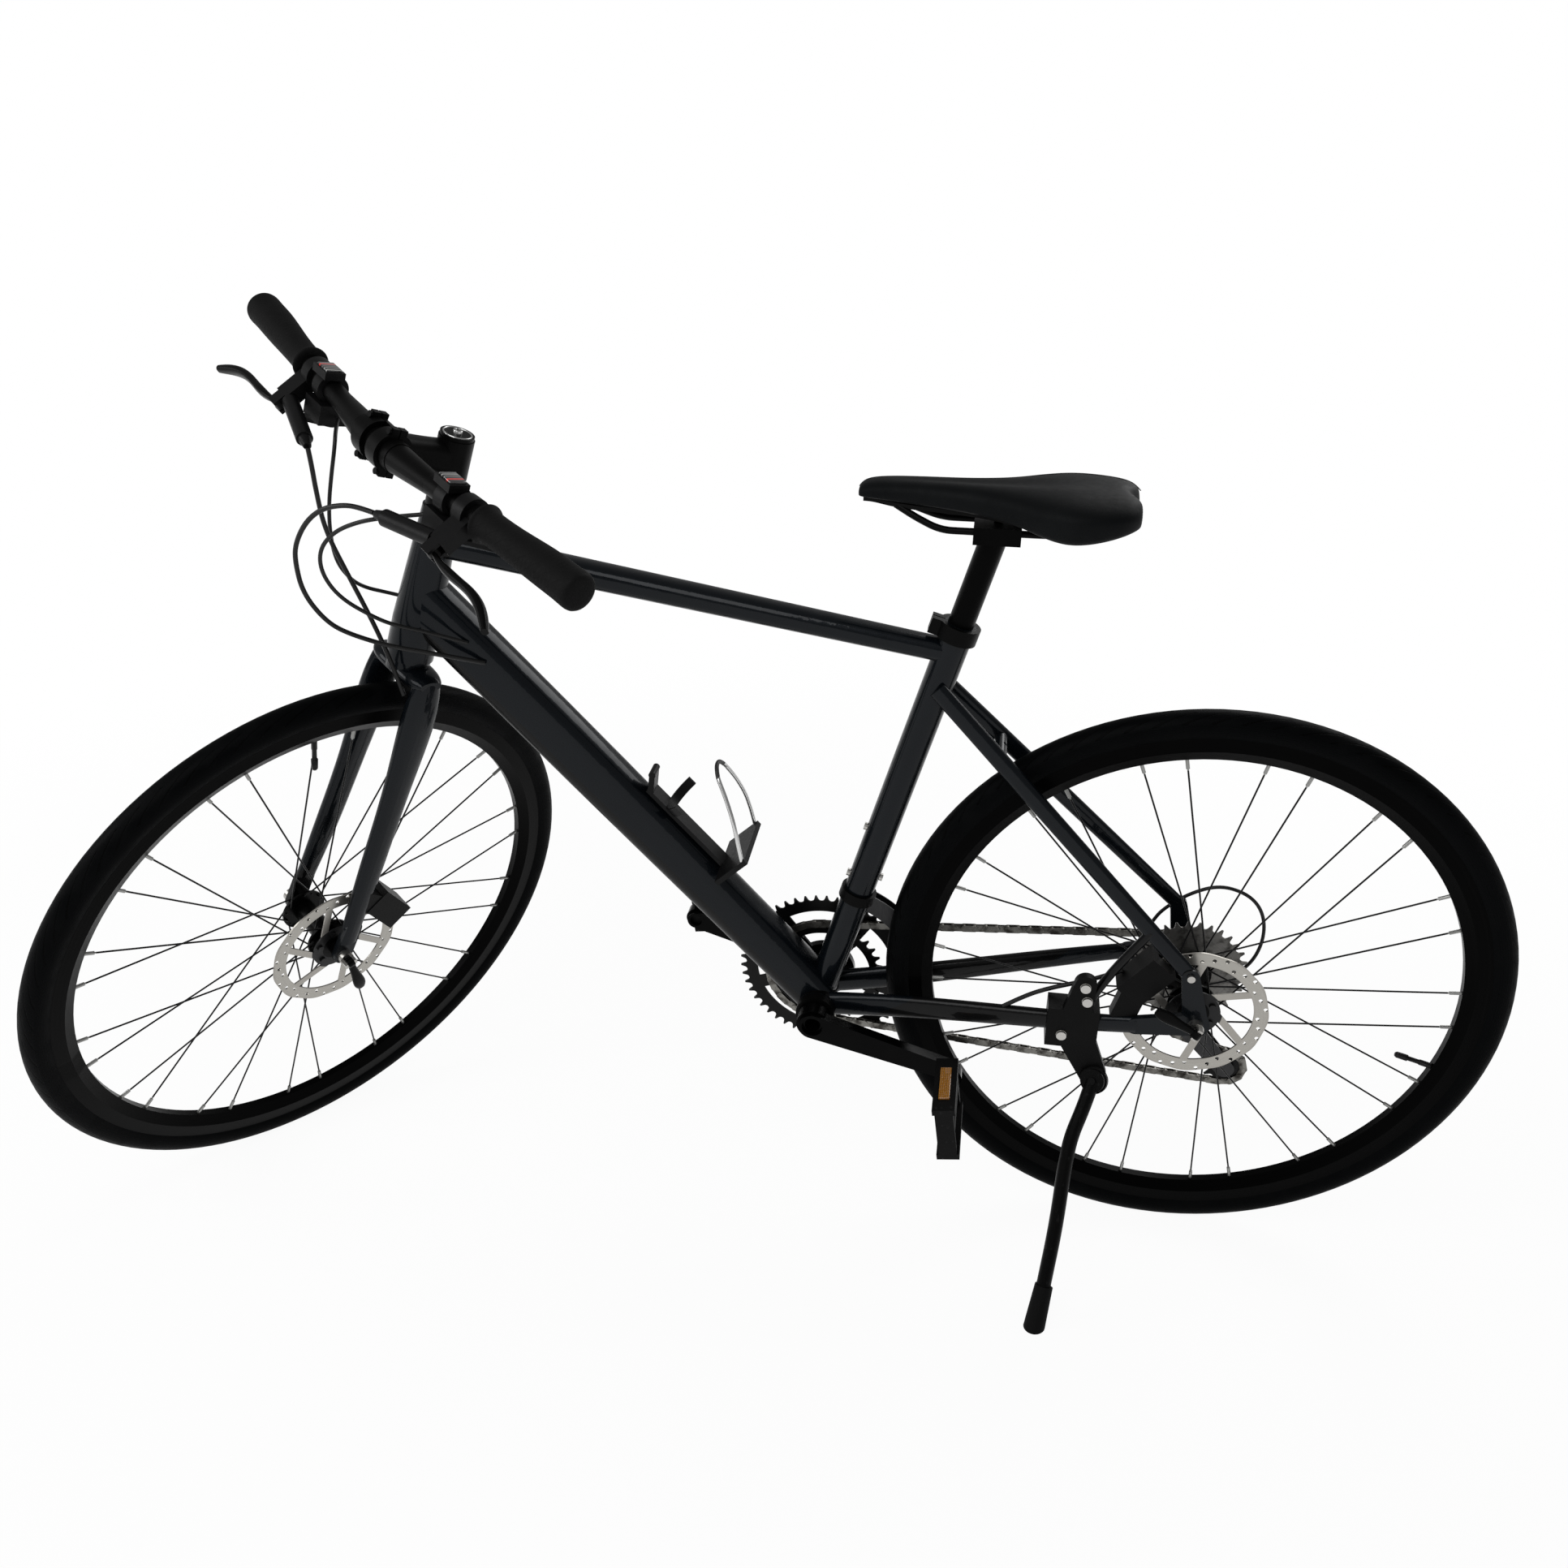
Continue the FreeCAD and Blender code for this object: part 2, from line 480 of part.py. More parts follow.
def stays():
    """Chainstays with the dropouts, hanger and disc brace, and seatstays with their bridge."""
    plate_middle = AXLE_END + S.dropout_thickness / 2
    chain_sides, seat_sides = [], []
    stay_square_share = 0.85
    dropout_arm = S.dropout_radius - S.tube_wall / 2
    shell = drum(S.shell_radius, S.shell_width, CRANK_AXIS, LEFT)
    seat_outside = rod(S.seat_tube_radius, S.seat_tube_length, CRANK_AXIS, SEAT)
    axle_hole = drum(S.axle_radius + S.bearing_gap, S.rear_spacing * 2, V(0, 0, 0), LEFT)
    for side in SIDES:
        end = V(S.stay_end_ahead, side * plate_middle, -S.stay_end_drop)
        root = CRANK_AXIS + LEFT * (side * S.stay_root_half)
        waist_share = (S.bb_ahead - S.stay_waist_ahead) / (S.bb_ahead - S.stay_end_ahead)
        waist = root + (end - root) * waist_share
        waist.y = side * S.stay_waist_half
        middle = (waist + end) / 2
        middle.y = side * (S.stay_waist_half + plate_middle) / 2
        sections = []
        for centre, half_width, half_depth in (
            (root, S.stay_root_width / 2, S.stay_root_depth / 2),
            (waist, S.stay_waist_width / 2, S.stay_root_depth / 2),
            (middle, S.stay_waist_width / 2, (S.stay_root_depth + S.stay_end_depth) / 4),
            (end, S.stay_end_width / 2, S.stay_end_depth / 2),
        ):
            sections.append(oval(centre, LEFT, UP, half_width, half_depth, stay_square_share))
        stay_end = V(S.seatstay_end_ahead, side * plate_middle, S.seatstay_end_up)
        dropout = drum(S.dropout_radius, S.dropout_thickness, V(0, side * plate_middle, 0), LEFT)
        arms = [
            formed(arm(V(0, 0, 0), V(S.stay_end_ahead, 0, -S.stay_end_drop), dropout_arm,
                       S.stay_end_depth / 2, S.dropout_thickness, side * plate_middle)),
            formed(arm(V(0, 0, 0), V(S.seatstay_end_ahead, 0, S.seatstay_end_up), dropout_arm,
                       S.seatstay_depth / 2, S.dropout_thickness, side * plate_middle)),
        ]
        if side < 0:
            arms.append(formed(arm(V(0, 0, 0), V(-S.hanger_back, 0, -S.hanger_drop), dropout_arm,
                                   S.hanger_radius, S.dropout_thickness, side * plate_middle)))
        top = on_seat(S.seatstay_top, side * S.seatstay_half_top)
        if side > 0:
            brace_top = stay_end + (top - stay_end) * S.brace_share_up
            brace_low = end + (middle - end) * S.brace_share_ahead
            bow = (brace_top + brace_low) / 2 + unit(AHEAD * 2 + UP) * S.brace_radius
            arms.append(formed(cord([brace_top, bow, brace_low], S.brace_radius)))
        stay = fuse(formed(loft(sections)), dropout, *arms)
        chain_sides.append(cut(stay, shell, axle_hole))

        run = unit(stay_end - top)
        over = unit(V(-run.z, 0, run.x))
        across = unit(over.cross(run))
        wires = [
            oval(top, across, over, S.seatstay_width / 2, S.seatstay_depth / 2, stay_square_share),
            oval(top + (stay_end - top) / 2, across, over, S.seatstay_width / 2, S.seatstay_depth / 2, stay_square_share),
            oval(stay_end, across, over, S.dropout_thickness / 2 - S.running_gap, S.seatstay_depth / 2 - S.running_gap * 3, stay_square_share),
        ]
        seat_sides.append(cut(formed(loft(wires)), seat_outside, chain_sides[-1]))
    bridge = drum(S.bridge_radius, BRIDGE_POINT.y * 2, BRIDGE_MIDDLE, LEFT)
    bridge = cut(bridge, *seat_sides)
    hole = drum(S.bridge_hole_radius, S.bridge_radius * 2 + S.overrun, BRIDGE_MIDDLE, BRIDGE_AXIS)
    sub_part("seatstays", group(*seat_sides, cut(bridge, hole)))
    return sub_part("chainstays", group(*chain_sides))


def arm(start, end, start_radius, end_radius, thickness, place):
    """A flat tapered arm round two points of the XZ plane, square to Y."""
    on = unit(end - start)
    off = V(-on.z, 0, on.x)
    edges = [
        Part.LineSegment(start + off * start_radius, end + off * end_radius).toShape(),
        Part.Arc(end + off * end_radius, end + on * end_radius, end - off * end_radius).toShape(),
        Part.LineSegment(end - off * end_radius, start - off * start_radius).toShape(),
        Part.Arc(start - off * start_radius, start - on * start_radius, start + off * start_radius).toShape(),
    ]
    plate = slab([Part.Wire(edges)], thickness)
    plate.translate(LEFT * place)
    return plate



# Wheels

def around(radius, angle, place=0):
    """A point round the wheel's axis: the angle goes from ahead to up."""
    return V(radius * math.cos(angle), place, radius * math.sin(angle))


def tyre():
    middle = S.tyre_radius - S.tyre_width / 2
    outside = hoop(middle, S.tyre_width / 2, V(0, 0, 0), LEFT)
    inside = hoop(middle, S.tyre_width / 2 - S.tyre_wall, V(0, 0, 0), LEFT)
    return cut(outside, inside, drum(S.rim_top_radius, S.tyre_width + S.overrun, V(0, 0, 0), LEFT))


def rim(name):
    """A deep channel with an open tyre well."""
    top, half, nose = S.rim_top_radius, S.rim_width / 2, S.rim_nose_width / 2
    shoulder, bed = top - S.rim_shoulder, top - S.rim_depth
    upper = [(bed, nose), (shoulder, half), (top, half), (top, half - S.rim_wall),
             (shoulder + S.rim_wall / 2, half - S.rim_wall), (bed + S.rim_wall, nose - S.rim_wall / 2)]
    return turned(name, upper + [(radius, -place) for radius, place in reversed(upper)])


def spokes(left_flange, right_flange):
    """Laced spokes with their nipples, and the holes that the elbows take in the flanges."""
    laced, holes = [], []
    step = math.tau / S.spoke_pairs
    bed = S.rim_top_radius - S.rim_depth + S.rim_wall / 2
    for pair in range(int(S.spoke_pairs)):
        for side, flange in ((1, left_flange), (-1, right_flange)):
            turn = 1 if pair % 2 else -1
            rim_angle = step * pair + side * degrees(S.spoke_pair_angle) / 2
            hub_angle = rim_angle + turn * step * S.lacing_steps
            middle = side * (flange + S.flange_width / 2)
            stand = side * turn * (S.flange_width / 2 + S.spoke_radius)
            elbow = around(S.spoke_circle, hub_angle, middle + stand + side * turn * S.spoke_stand)
            head = around(S.spoke_circle, hub_angle, middle - stand)
            end = around(bed, rim_angle)
            along = unit(end - elbow)
            shaft = Part.makeCylinder(S.spoke_radius, (end - elbow).Length, elbow, along)
            pin = Part.makeCylinder(S.spoke_radius, (head - elbow).Length, elbow, unit(head - elbow))
            nipple = Part.makeCylinder(S.nipple_radius, S.nipple_length, end - along * S.nipple_length, along)
            laced.append(shaft.fuse([pin, nipple]))
            through = S.flange_width * 2
            start = around(S.spoke_circle, hub_angle, middle - through / 2)
            holes.append(Part.makeCylinder(S.spoke_radius + S.bearing_gap, through, start, LEFT))
    return formed(Part.Compound(laced)), formed(Part.Compound(holes))


CASSETTE_END = S.small_cog_place + S.cog_thickness / 2


def hub(name, end, rotor_place, left_flange, right_flange, has_freehub):
    """Hub shell turned with its flanges, rotor seat and, at the back, the freehub body."""
    bore = S.axle_radius + S.bearing_gap
    seat = rotor_place - S.rotor_thickness / 2
    spigot = seat + S.rotor_thickness
    under = seat - S.rotor_seat_width
    left_out, right_out = left_flange + S.flange_width, right_flange + S.flange_width
    outline = [
        (S.hub_end_radius, end), (S.hub_end_radius, spigot), (S.rotor_bore, spigot), (S.rotor_bore, seat),
        (S.rotor_seat_radius, seat), (S.rotor_seat_radius, under), (S.hub_shell_radius, under),
        (S.hub_shell_radius, left_out), (S.flange_radius, left_out), (S.flange_radius, left_flange),
        (S.hub_shell_radius, left_flange), (S.hub_shell_radius, -right_flange), (S.flange_radius, -right_flange),
        (S.flange_radius, -right_out),
    ]
    if has_freehub:
        outline += [(S.freehub_radius, -right_out), (S.freehub_radius, -CASSETTE_END)]
        outline += [(S.hub_end_radius, -CASSETTE_END)]
    else:
        outline += [(S.hub_shell_radius, -right_out), (S.hub_end_radius, -(right_out + S.flange_width))]
    return turned(name, outline + [(S.hub_end_radius, -end), (bore, -end), (bore, end)])


def rotor(place):
    """Waved steel rotor with vent holes, slanted arms and six bolts."""
    steps = int(S.rotor_waves) * 6
    edge_points = []
    for step in range(steps):
        angle = math.tau * step / steps
        edge_points.append(around(S.rotor_radius - S.rotor_wave * (1 - math.cos(angle * S.rotor_waves)) / 2, angle))
    edge = Part.BSplineCurve()
    edge.interpolate(edge_points, PeriodicFlag=True)
    band_inside = S.rotor_radius - S.rotor_band
    hole_shares = (0.28, 0.52, 0.76)
    holes = []
    for wave in range(int(S.rotor_waves)):
        for number, share in enumerate(hole_shares):
            angle = math.tau * (wave + number / len(hole_shares)) / S.rotor_waves
            spot = around(band_inside + S.rotor_band * share, angle)
            holes.append(circle(S.rotor_hole_radius, spot.x, spot.z))
    band = slab([Part.Wire(edge.toShape()), circle(band_inside), *holes], S.rotor_thickness)
    carrier = slab([circle(S.rotor_carrier), circle(S.rotor_bore + S.bearing_gap)], S.rotor_thickness)
    arms = []
    for number in range(int(S.rotor_arms)):
        angle = math.tau * number / S.rotor_arms
        inner = around(S.rotor_carrier - S.rotor_arm_width / 2, angle)
        outer = around(band_inside + S.rotor_arm_width / 4, angle + degrees(S.rotor_arm_slant))
        arms.append(arm(inner, outer, S.rotor_arm_width / 2, S.rotor_arm_width / 2, S.rotor_thickness, 0))
    bore = Part.makeCylinder(S.rotor_bore + S.bearing_gap, S.overrun * 2, LEFT * -S.overrun, LEFT)
    outside = Part.makeCylinder(band_inside + S.rotor_arm_width / 2, S.overrun * 2, LEFT * -S.overrun, LEFT)
    arms = [bar.common(outside).cut(bore) for bar in arms]
    disc = band.fuse([carrier, *arms]).removeSplitter()
    disc.translate(LEFT * place)
    bolts = []
    for number in range(int(S.rotor_arms)):
        foot = around(S.rotor_bolt_circle, math.tau * (number + 0.5) / S.rotor_arms, place + S.rotor_thickness / 2)
        bolts.append(rod(S.rotor_bolt_radius, S.rotor_bolt_height, foot, LEFT))
    return group(formed(disc), *bolts)


def wheel(which, moves, at, end, rotor_place, left_flange, right_flange, has_freehub):
    laced, holes = spokes(left_flange, right_flange)
    shell = hub(which + "Hub", end, rotor_place, left_flange, right_flange, has_freehub)
    sub_part(which + "_tyre", tyre(), moves, at)
    sub_part(which + "_rim", rim(which + "Rim"), moves, at)
    sub_part(which + "_spokes", laced, moves, at)
    sub_part(which + "_hub", cut(shell, holes), moves, at)
    sub_part(which + "_rotor", rotor(rotor_place), moves, at)


def caliper(centre, place, angle):
    """Brake caliper astride the rotor's edge, with its two pads."""
    radial = around(1, degrees(angle))
    turn = FreeCAD.Rotation(LEFT, 90 - angle)
    middle = centre + radial * S.caliper_out + LEFT * (place + S.caliper_shift)
    slot_width = S.rotor_thickness + (S.running_gap + S.pad_thickness) * 2
    deep = S.caliper_depth * 2
    floor = S.rotor_radius + S.running_gap * 5
    body = block(S.caliper_length, S.caliper_width, S.caliper_depth, middle, turn)
    slot = block(S.caliper_length * 2, slot_width, deep, centre + radial * (floor - deep / 2) + LEFT * place, turn)
    pads = []
    for side in SIDES:
        off = side * (S.rotor_thickness / 2 + S.running_gap + S.pad_thickness / 2)
        spot = centre + radial * (S.rotor_radius - S.rotor_band / 2) + LEFT * (place + off)
        pads.append(block(S.pad_length, S.pad_thickness, S.pad_depth, spot, turn))
    return body, slot, pads


# Drive

COG_TEETH = (11, 12, 14, 16, 18, 20, 22, 25, 28, 32)
CHAIN_PLACE = -(S.small_cog_place - S.cog_pitch * S.chain_cog)
OUTER_RING_PLACE = CHAIN_PLACE - S.ring_spacing
GUIDE = V(-S.guide_back, CHAIN_PLACE, -S.guide_drop)
CRANK_RAY = around(1, degrees(S.crank_angle))


def pitch_radius(teeth):
    return float(S.chain_pitch) / (2 * math.sin(math.pi / teeth))


def toothed(teeth, phase):
    """A sprocket's outline about the origin, with a gap for a roller at the phase angle."""
    radius = pitch_radius(teeth)
    seat = float(S.roller_radius + S.seat_play)
    spread = math.radians(62)
    tip = float(radius + S.tooth_height)
    tip_half = float(S.tooth_tip) / 2 / tip
    edges = []
    last = None
    first = None
    for number in range(teeth):
        angle = phase + math.tau * number / teeth
        out, on = around(1, angle), around(1, angle + math.pi / 2)
        centre = out * radius
        start = centre - out * (seat * math.cos(spread)) - on * (seat * math.sin(spread))
        end = centre - out * (seat * math.cos(spread)) + on * (seat * math.sin(spread))
        if last is None:
            first = start
        else:
            edges.append(Part.LineSegment(last, start).toShape())
        edges.append(Part.Arc(start, centre - out * seat, end).toShape())
        rise = around(tip, angle + math.pi / teeth - tip_half)
        fall = around(tip, angle + math.pi / teeth + tip_half)
        edges.append(Part.LineSegment(end, rise).toShape())
        edges.append(Part.LineSegment(rise, fall).toShape())
        last = fall
    edges.append(Part.LineSegment(last, first).toShape())
    return Part.Wire(edges)


def chain_path(cage_angle):
    """The chain's line through cog, ring, tension pulley and guide pulley, as straight runs and arcs."""
    tension = GUIDE + around(S.cage_length, cage_angle)
    wheels = [
        (V(0, 0, 0), pitch_radius(COG_TEETH[int(S.chain_cog)]), 1),
        (CRANK_AXIS, pitch_radius(int(S.chain_teeth_ring)), 1),
        (tension, pitch_radius(int(S.pulley_teeth)), 1),
        (GUIDE, pitch_radius(int(S.pulley_teeth)), -1),
    ]
    runs = []
    for (centre, radius, spin), (next_centre, next_radius, next_spin) in zip(wheels, wheels[1:] + wheels[:1]):
        across = next_centre - centre
        heading = math.atan2(across.z, across.x)
        heading += math.asin((next_spin * next_radius - spin * radius) / math.hypot(across.x, across.z))
        right = V(math.sin(heading), 0, -math.cos(heading))
        runs.append((centre - right * (spin * radius), next_centre - right * (next_spin * next_radius)))
    pieces = []
    for number, (start, end) in enumerate(runs):
        pieces.append(("run", start, end, math.hypot(end.x - start.x, end.z - start.z)))
        centre, radius, spin = wheels[(number + 1) % len(wheels)]
        leave = runs[(number + 1) % len(runs)][0]
        first = math.atan2(end.z - centre.z, end.x - centre.x)
        last = math.atan2(leave.z - centre.z, leave.x - centre.x)
        sweep = ((last - first) * -spin) % math.tau * -spin
        pieces.append(("arc", centre, radius, abs(sweep) * radius, first, sweep))
    return pieces


def on_path(pieces, distance):
    distance %= sum(piece[3] for piece in pieces)
    for piece in pieces:
        if distance <= piece[3]:
            break
        distance -= piece[3]
    share = distance / piece[3]
    if piece[0] == "run":
        return piece[1] + (piece[2] - piece[1]) * share
    return piece[1] + around(piece[2], piece[4] + piece[5] * share)


def roll_along(pieces, links):
    """Roller centres one pitch apart along the path, and how far the last one overshoots the first."""
    pitch = float(S.chain_pitch)
    near_share, far_share = 0.95, 1.2
    distance = 0.0
    rollers = []
    for link in range(links):
        here = on_path(pieces, distance)
        here.y = 0
        rollers.append(here)
        near, far = pitch * near_share, pitch * far_share
        for halving in range(40):
            middle = (near + far) / 2
            there = on_path(pieces, distance + middle)
            there.y = 0
            near, far = (middle, far) if (there - here).Length < pitch else (near, middle)
        distance += near
    return rollers, distance - sum(piece[3] for piece in pieces)


def settle_chain():
    """The cage angle at which a whole even number of links closes the chain."""
    guess = degrees(S.cage_angle_guess)
    spread = math.radians(25)
    length = sum(piece[3] for piece in chain_path(guess))
    links = 2 * round(length / float(S.chain_pitch) / 2)
    low, high = guess - spread, guess + spread
    rising = roll_along(chain_path(high), links)[1] > roll_along(chain_path(low), links)[1]
    for halving in range(30):
        middle = (low + high) / 2
        over = roll_along(chain_path(middle), links)[1] > 0
        low, high = (low, middle) if over == rising else (middle, high)
    return middle, roll_along(chain_path(middle), links)[0]


CAGE_ANGLE, ROLLERS = settle_chain()
TENSION = GUIDE + around(S.cage_length, CAGE_ANGLE)


def phase_on(centre, teeth):
    """The angle of the roller that sits deepest on a sprocket."""
    radius = pitch_radius(teeth)
    seated = min(ROLLERS, key=lambda roller: abs(math.hypot(roller.x - centre.x, roller.z - centre.z) - radius))
    return math.atan2(seated.z - centre.z, seated.x - centre.x)


def chain_links():
    """One inner and one outer link, with the bore and pin that join them."""
    ends = (V(-S.chain_pitch / 2, 0, 0), V(S.chain_pitch / 2, 0, 0))
    half = S.link_height / 2
    inner_place = S.inner_plate_gap / 2 + S.plate_thickness / 2
    outer_place = inner_place + S.plate_thickness + S.plate_play
    plate_wires = [slot_outline(ends, half)]
    bores = [circle(S.pin_radius + S.bearing_gap, end.x) for end in ends]
    inner, outer = [], []
    for side in SIDES:
        plate = slab(plate_wires + bores, S.plate_thickness)
        plate.translate(LEFT * (side * inner_place))
        inner.append(plate)
        plate = slab(plate_wires, S.plate_thickness)
        plate.translate(LEFT * (side * outer_place))
        outer.append(plate)
    for end in ends:
        roller = slab([circle(S.roller_radius, end.x), circle(S.pin_radius + S.bearing_gap, end.x)], S.inner_plate_gap)
        inner.append(roller)
        reach = outer_place + S.plate_thickness / 2 + S.pin_over
        outer.append(Part.makeCylinder(S.pin_radius, reach * 2, end - LEFT * reach, LEFT))
    return inner[0].fuse(inner[1:]), outer[0].fuse(outer[1:])


def chain():
    kinds = chain_links()
    links = []
    for number, roller in enumerate(ROLLERS):
        after = ROLLERS[(number + 1) % len(ROLLERS)]
        middle = (roller + after) / 2
        angle = math.degrees(math.atan2(after.z - roller.z, after.x - roller.x))
        link = kinds[number % 2].copy()
        link.Placement = FreeCAD.Placement(middle + LEFT * CHAIN_PLACE, FreeCAD.Rotation(LEFT, -angle))
        links.append(link)
    sub_part("chain", formed(Part.Compound(links)))


def cassette():
    pieces = []
    bore = S.freehub_radius + S.bearing_gap
    for number, teeth in enumerate(COG_TEETH):
        place = -(S.small_cog_place - S.cog_pitch * number)
        phase = phase_on(V(0, 0, 0), teeth) if number == int(S.chain_cog) else 0
        cog = slab([toothed(teeth, phase), circle(bore)], S.cog_thickness)
        cog.translate(LEFT * place)
        pieces.append(formed(cog))
        if number:
            between = LEFT * (place - S.cog_pitch / 2)
            outer = min(S.spacer_ring, pitch_radius(COG_TEETH[number - 1]) - S.roller_radius - S.seat_play * 2)
            pieces.append(ring(outer, bore, S.cog_pitch - S.cog_thickness, between, LEFT))
    lock = S.cog_thickness
    middle = LEFT * -(CASSETTE_END + S.running_gap + lock / 2)
    pieces.append(ring(S.freehub_radius + S.cog_thickness, S.hub_end_radius + S.bearing_gap, lock, middle, LEFT))
    sub_part("cassette", group(*pieces))


def chainrings():
    """Both rings with their five tabs and bolt heads."""
    pieces = []
    first_arm = degrees(S.crank_angle) + math.pi / S.spider_arms
    for teeth, place, band in ((int(S.chain_teeth_ring), CHAIN_PLACE, S.inner_ring_band),
                               (int(S.outer_ring_teeth), OUTER_RING_PLACE, S.ring_band)):
        phase = phase_on(CRANK_AXIS, teeth) if place == CHAIN_PLACE else 0
        inside = pitch_radius(teeth) - S.roller_radius - band
        plate = slab([toothed(teeth, phase), circle(inside)], S.ring_thickness)
        tabs = []
        for number in range(int(S.spider_arms)):
            angle = first_arm + math.tau * number / S.spider_arms
            tabs.append(arm(around(S.bolt_circle, angle), around(inside + band / 3, angle), S.tab_radius, S.tab_radius,
                            S.ring_thickness, 0))
        tabs = [tab.common(Part.makeCylinder(inside + band / 2, S.overrun, LEFT * (-S.overrun / 2), LEFT)) for tab in tabs]
        plate = plate.fuse(tabs).removeSplitter()
        plate.translate(CRANK_AXIS + LEFT * place)
        pieces.append(formed(plate))
        face = 1 if place == CHAIN_PLACE else -1
        for number in range(int(S.spider_arms)):
            spot = CRANK_AXIS + around(S.bolt_circle, first_arm + math.tau * number / S.spider_arms, place)
            pieces.append(rod(S.ring_bolt_radius, S.ring_bolt_height, spot + LEFT * (face * S.ring_thickness / 2),
                              LEFT * face))
    sub_part("chainrings", group(*pieces))


def crank_arm(side):
    """Forged crank: clamp boss, tapering arm and pedal eye. The right one points ahead at rest, the left one back."""
    ray = CRANK_RAY * -side
    boss_middle = CRANK_AXIS + LEFT * (side * (S.boss_inner + S.boss_outer) / 2)
    eye_middle = CRANK_AXIS + ray * S.crank_length + LEFT * (side * (S.eye_inner + S.eye_outer) / 2)
    boss = drum(S.boss_radius, S.boss_outer - S.boss_inner, boss_middle, LEFT)
    eye = drum(S.eye_radius, S.eye_outer - S.eye_inner, eye_middle, LEFT)
    place = (boss_middle.y + eye_middle.y) / 2
    bar = arm(V(boss_middle.x, 0, boss_middle.z), V(eye_middle.x, 0, eye_middle.z), S.crank_half_width, S.crank_end_half_width,
              S.crank_half_thick * 2, place)
    hole = drum(S.pedal_axle_radius + S.bearing_gap, S.eye_outer, eye_middle, LEFT)
    return fuse(boss, eye, formed(bar)), hole


def cranks():
    left, left_eye = crank_arm(1)
    spindle_seat = drum(S.spindle_radius + S.bearing_gap, S.boss_outer * 2 + S.overrun, CRANK_AXIS, LEFT)
    sub_part("left_crank", cut(left, left_eye, spindle_seat))
    right, right_eye = crank_arm(-1)
    first_arm = degrees(S.crank_angle) + math.pi / S.spider_arms
    spider_thick = S.ring_spacing - S.ring_thickness
    spider_place = (CHAIN_PLACE + OUTER_RING_PLACE) / 2
    dish = S.bolt_circle - S.tab_radius * 2.2
    fingers = []
    for number in range(int(S.spider_arms)):
        angle = first_arm + math.tau * number / S.spider_arms
        finger = arm(around(dish - S.tab_radius, angle), around(S.bolt_circle, angle), S.spider_width / 2, S.tab_radius,
                     spider_thick, spider_place)
        finger.translate(CRANK_AXIS)
        fingers.append(formed(finger))
    plate_length = S.boss_outer - S.boss_inner
    plate = rod(dish, plate_length / 2, CRANK_AXIS - LEFT * S.boss_inner, -LEFT)
    spindle = rod(S.spindle_radius, S.boss_inner + S.boss_outer, CRANK_AXIS - LEFT * S.boss_inner, LEFT)
    clear = drum(S.bb_cup_radius + S.running_gap * 3, S.boss_inner * 2, CRANK_AXIS, LEFT)
    bore = drum(S.spindle_bore, S.boss_outer * 3, CRANK_AXIS, LEFT)
    arms = cut(fuse(right, plate, *fingers), clear, right_eye)
    sub_part("right_crank", cut(fuse(arms, spindle), bore))


def pedal(side):
    """Cage pedal: axle and barrel, two reflector plates and two end plates."""
    centre = CRANK_AXIS + CRANK_RAY * (-side * S.crank_length)
    tilt = FreeCAD.Rotation(LEFT, S.pedal_tilt)
    start = S.eye_outer + S.pedal_gap
    body_start = start + S.pedal_neck
    middle = body_start + S.pedal_length / 2

    def spot(place, up=0):
        return centre + LEFT * (side * place) + tilt.multVec(UP) * up
    axle = rod(S.pedal_axle_radius, start - S.eye_inner, spot(S.eye_inner), LEFT * side)
    neck = rod(S.pedal_barrel_radius, S.pedal_neck + S.pedal_plate, spot(start), LEFT * side)
    barrel = rod(S.pedal_barrel_radius, S.pedal_length, spot(body_start), LEFT * side)
    plates = [
        block(S.pedal_height, S.pedal_length, S.pedal_plate, spot(middle, up * S.pedal_half_span), tilt) for up in SIDES
    ]
    reach = S.pedal_half_span * 2
    ends = [
        block(S.pedal_height * 0.8, S.pedal_plate, reach, spot(place), tilt)
        for place in (body_start + S.pedal_plate / 2, body_start + S.pedal_length - S.pedal_plate / 2)
    ]
    return fuse(axle, neck, barrel, *plates, *ends)


# Derailleurs

LINK = V(S.link_ahead, 0, -S.link_drop)
SHIFT_MOVE = unit(V(-S.link_slope * S.link_drop / S.link_ahead, 1, -S.link_slope))
LINK_AXIS = unit(LINK.cross(SHIFT_MOVE))
LINK_LOW = GUIDE + V(-S.knuckle_pin_radius, 0, S.knuckle_radius)
LINK_LOW.y = CHAIN_PLACE - S.link_out
LINK_HIGH = LINK_LOW - LINK


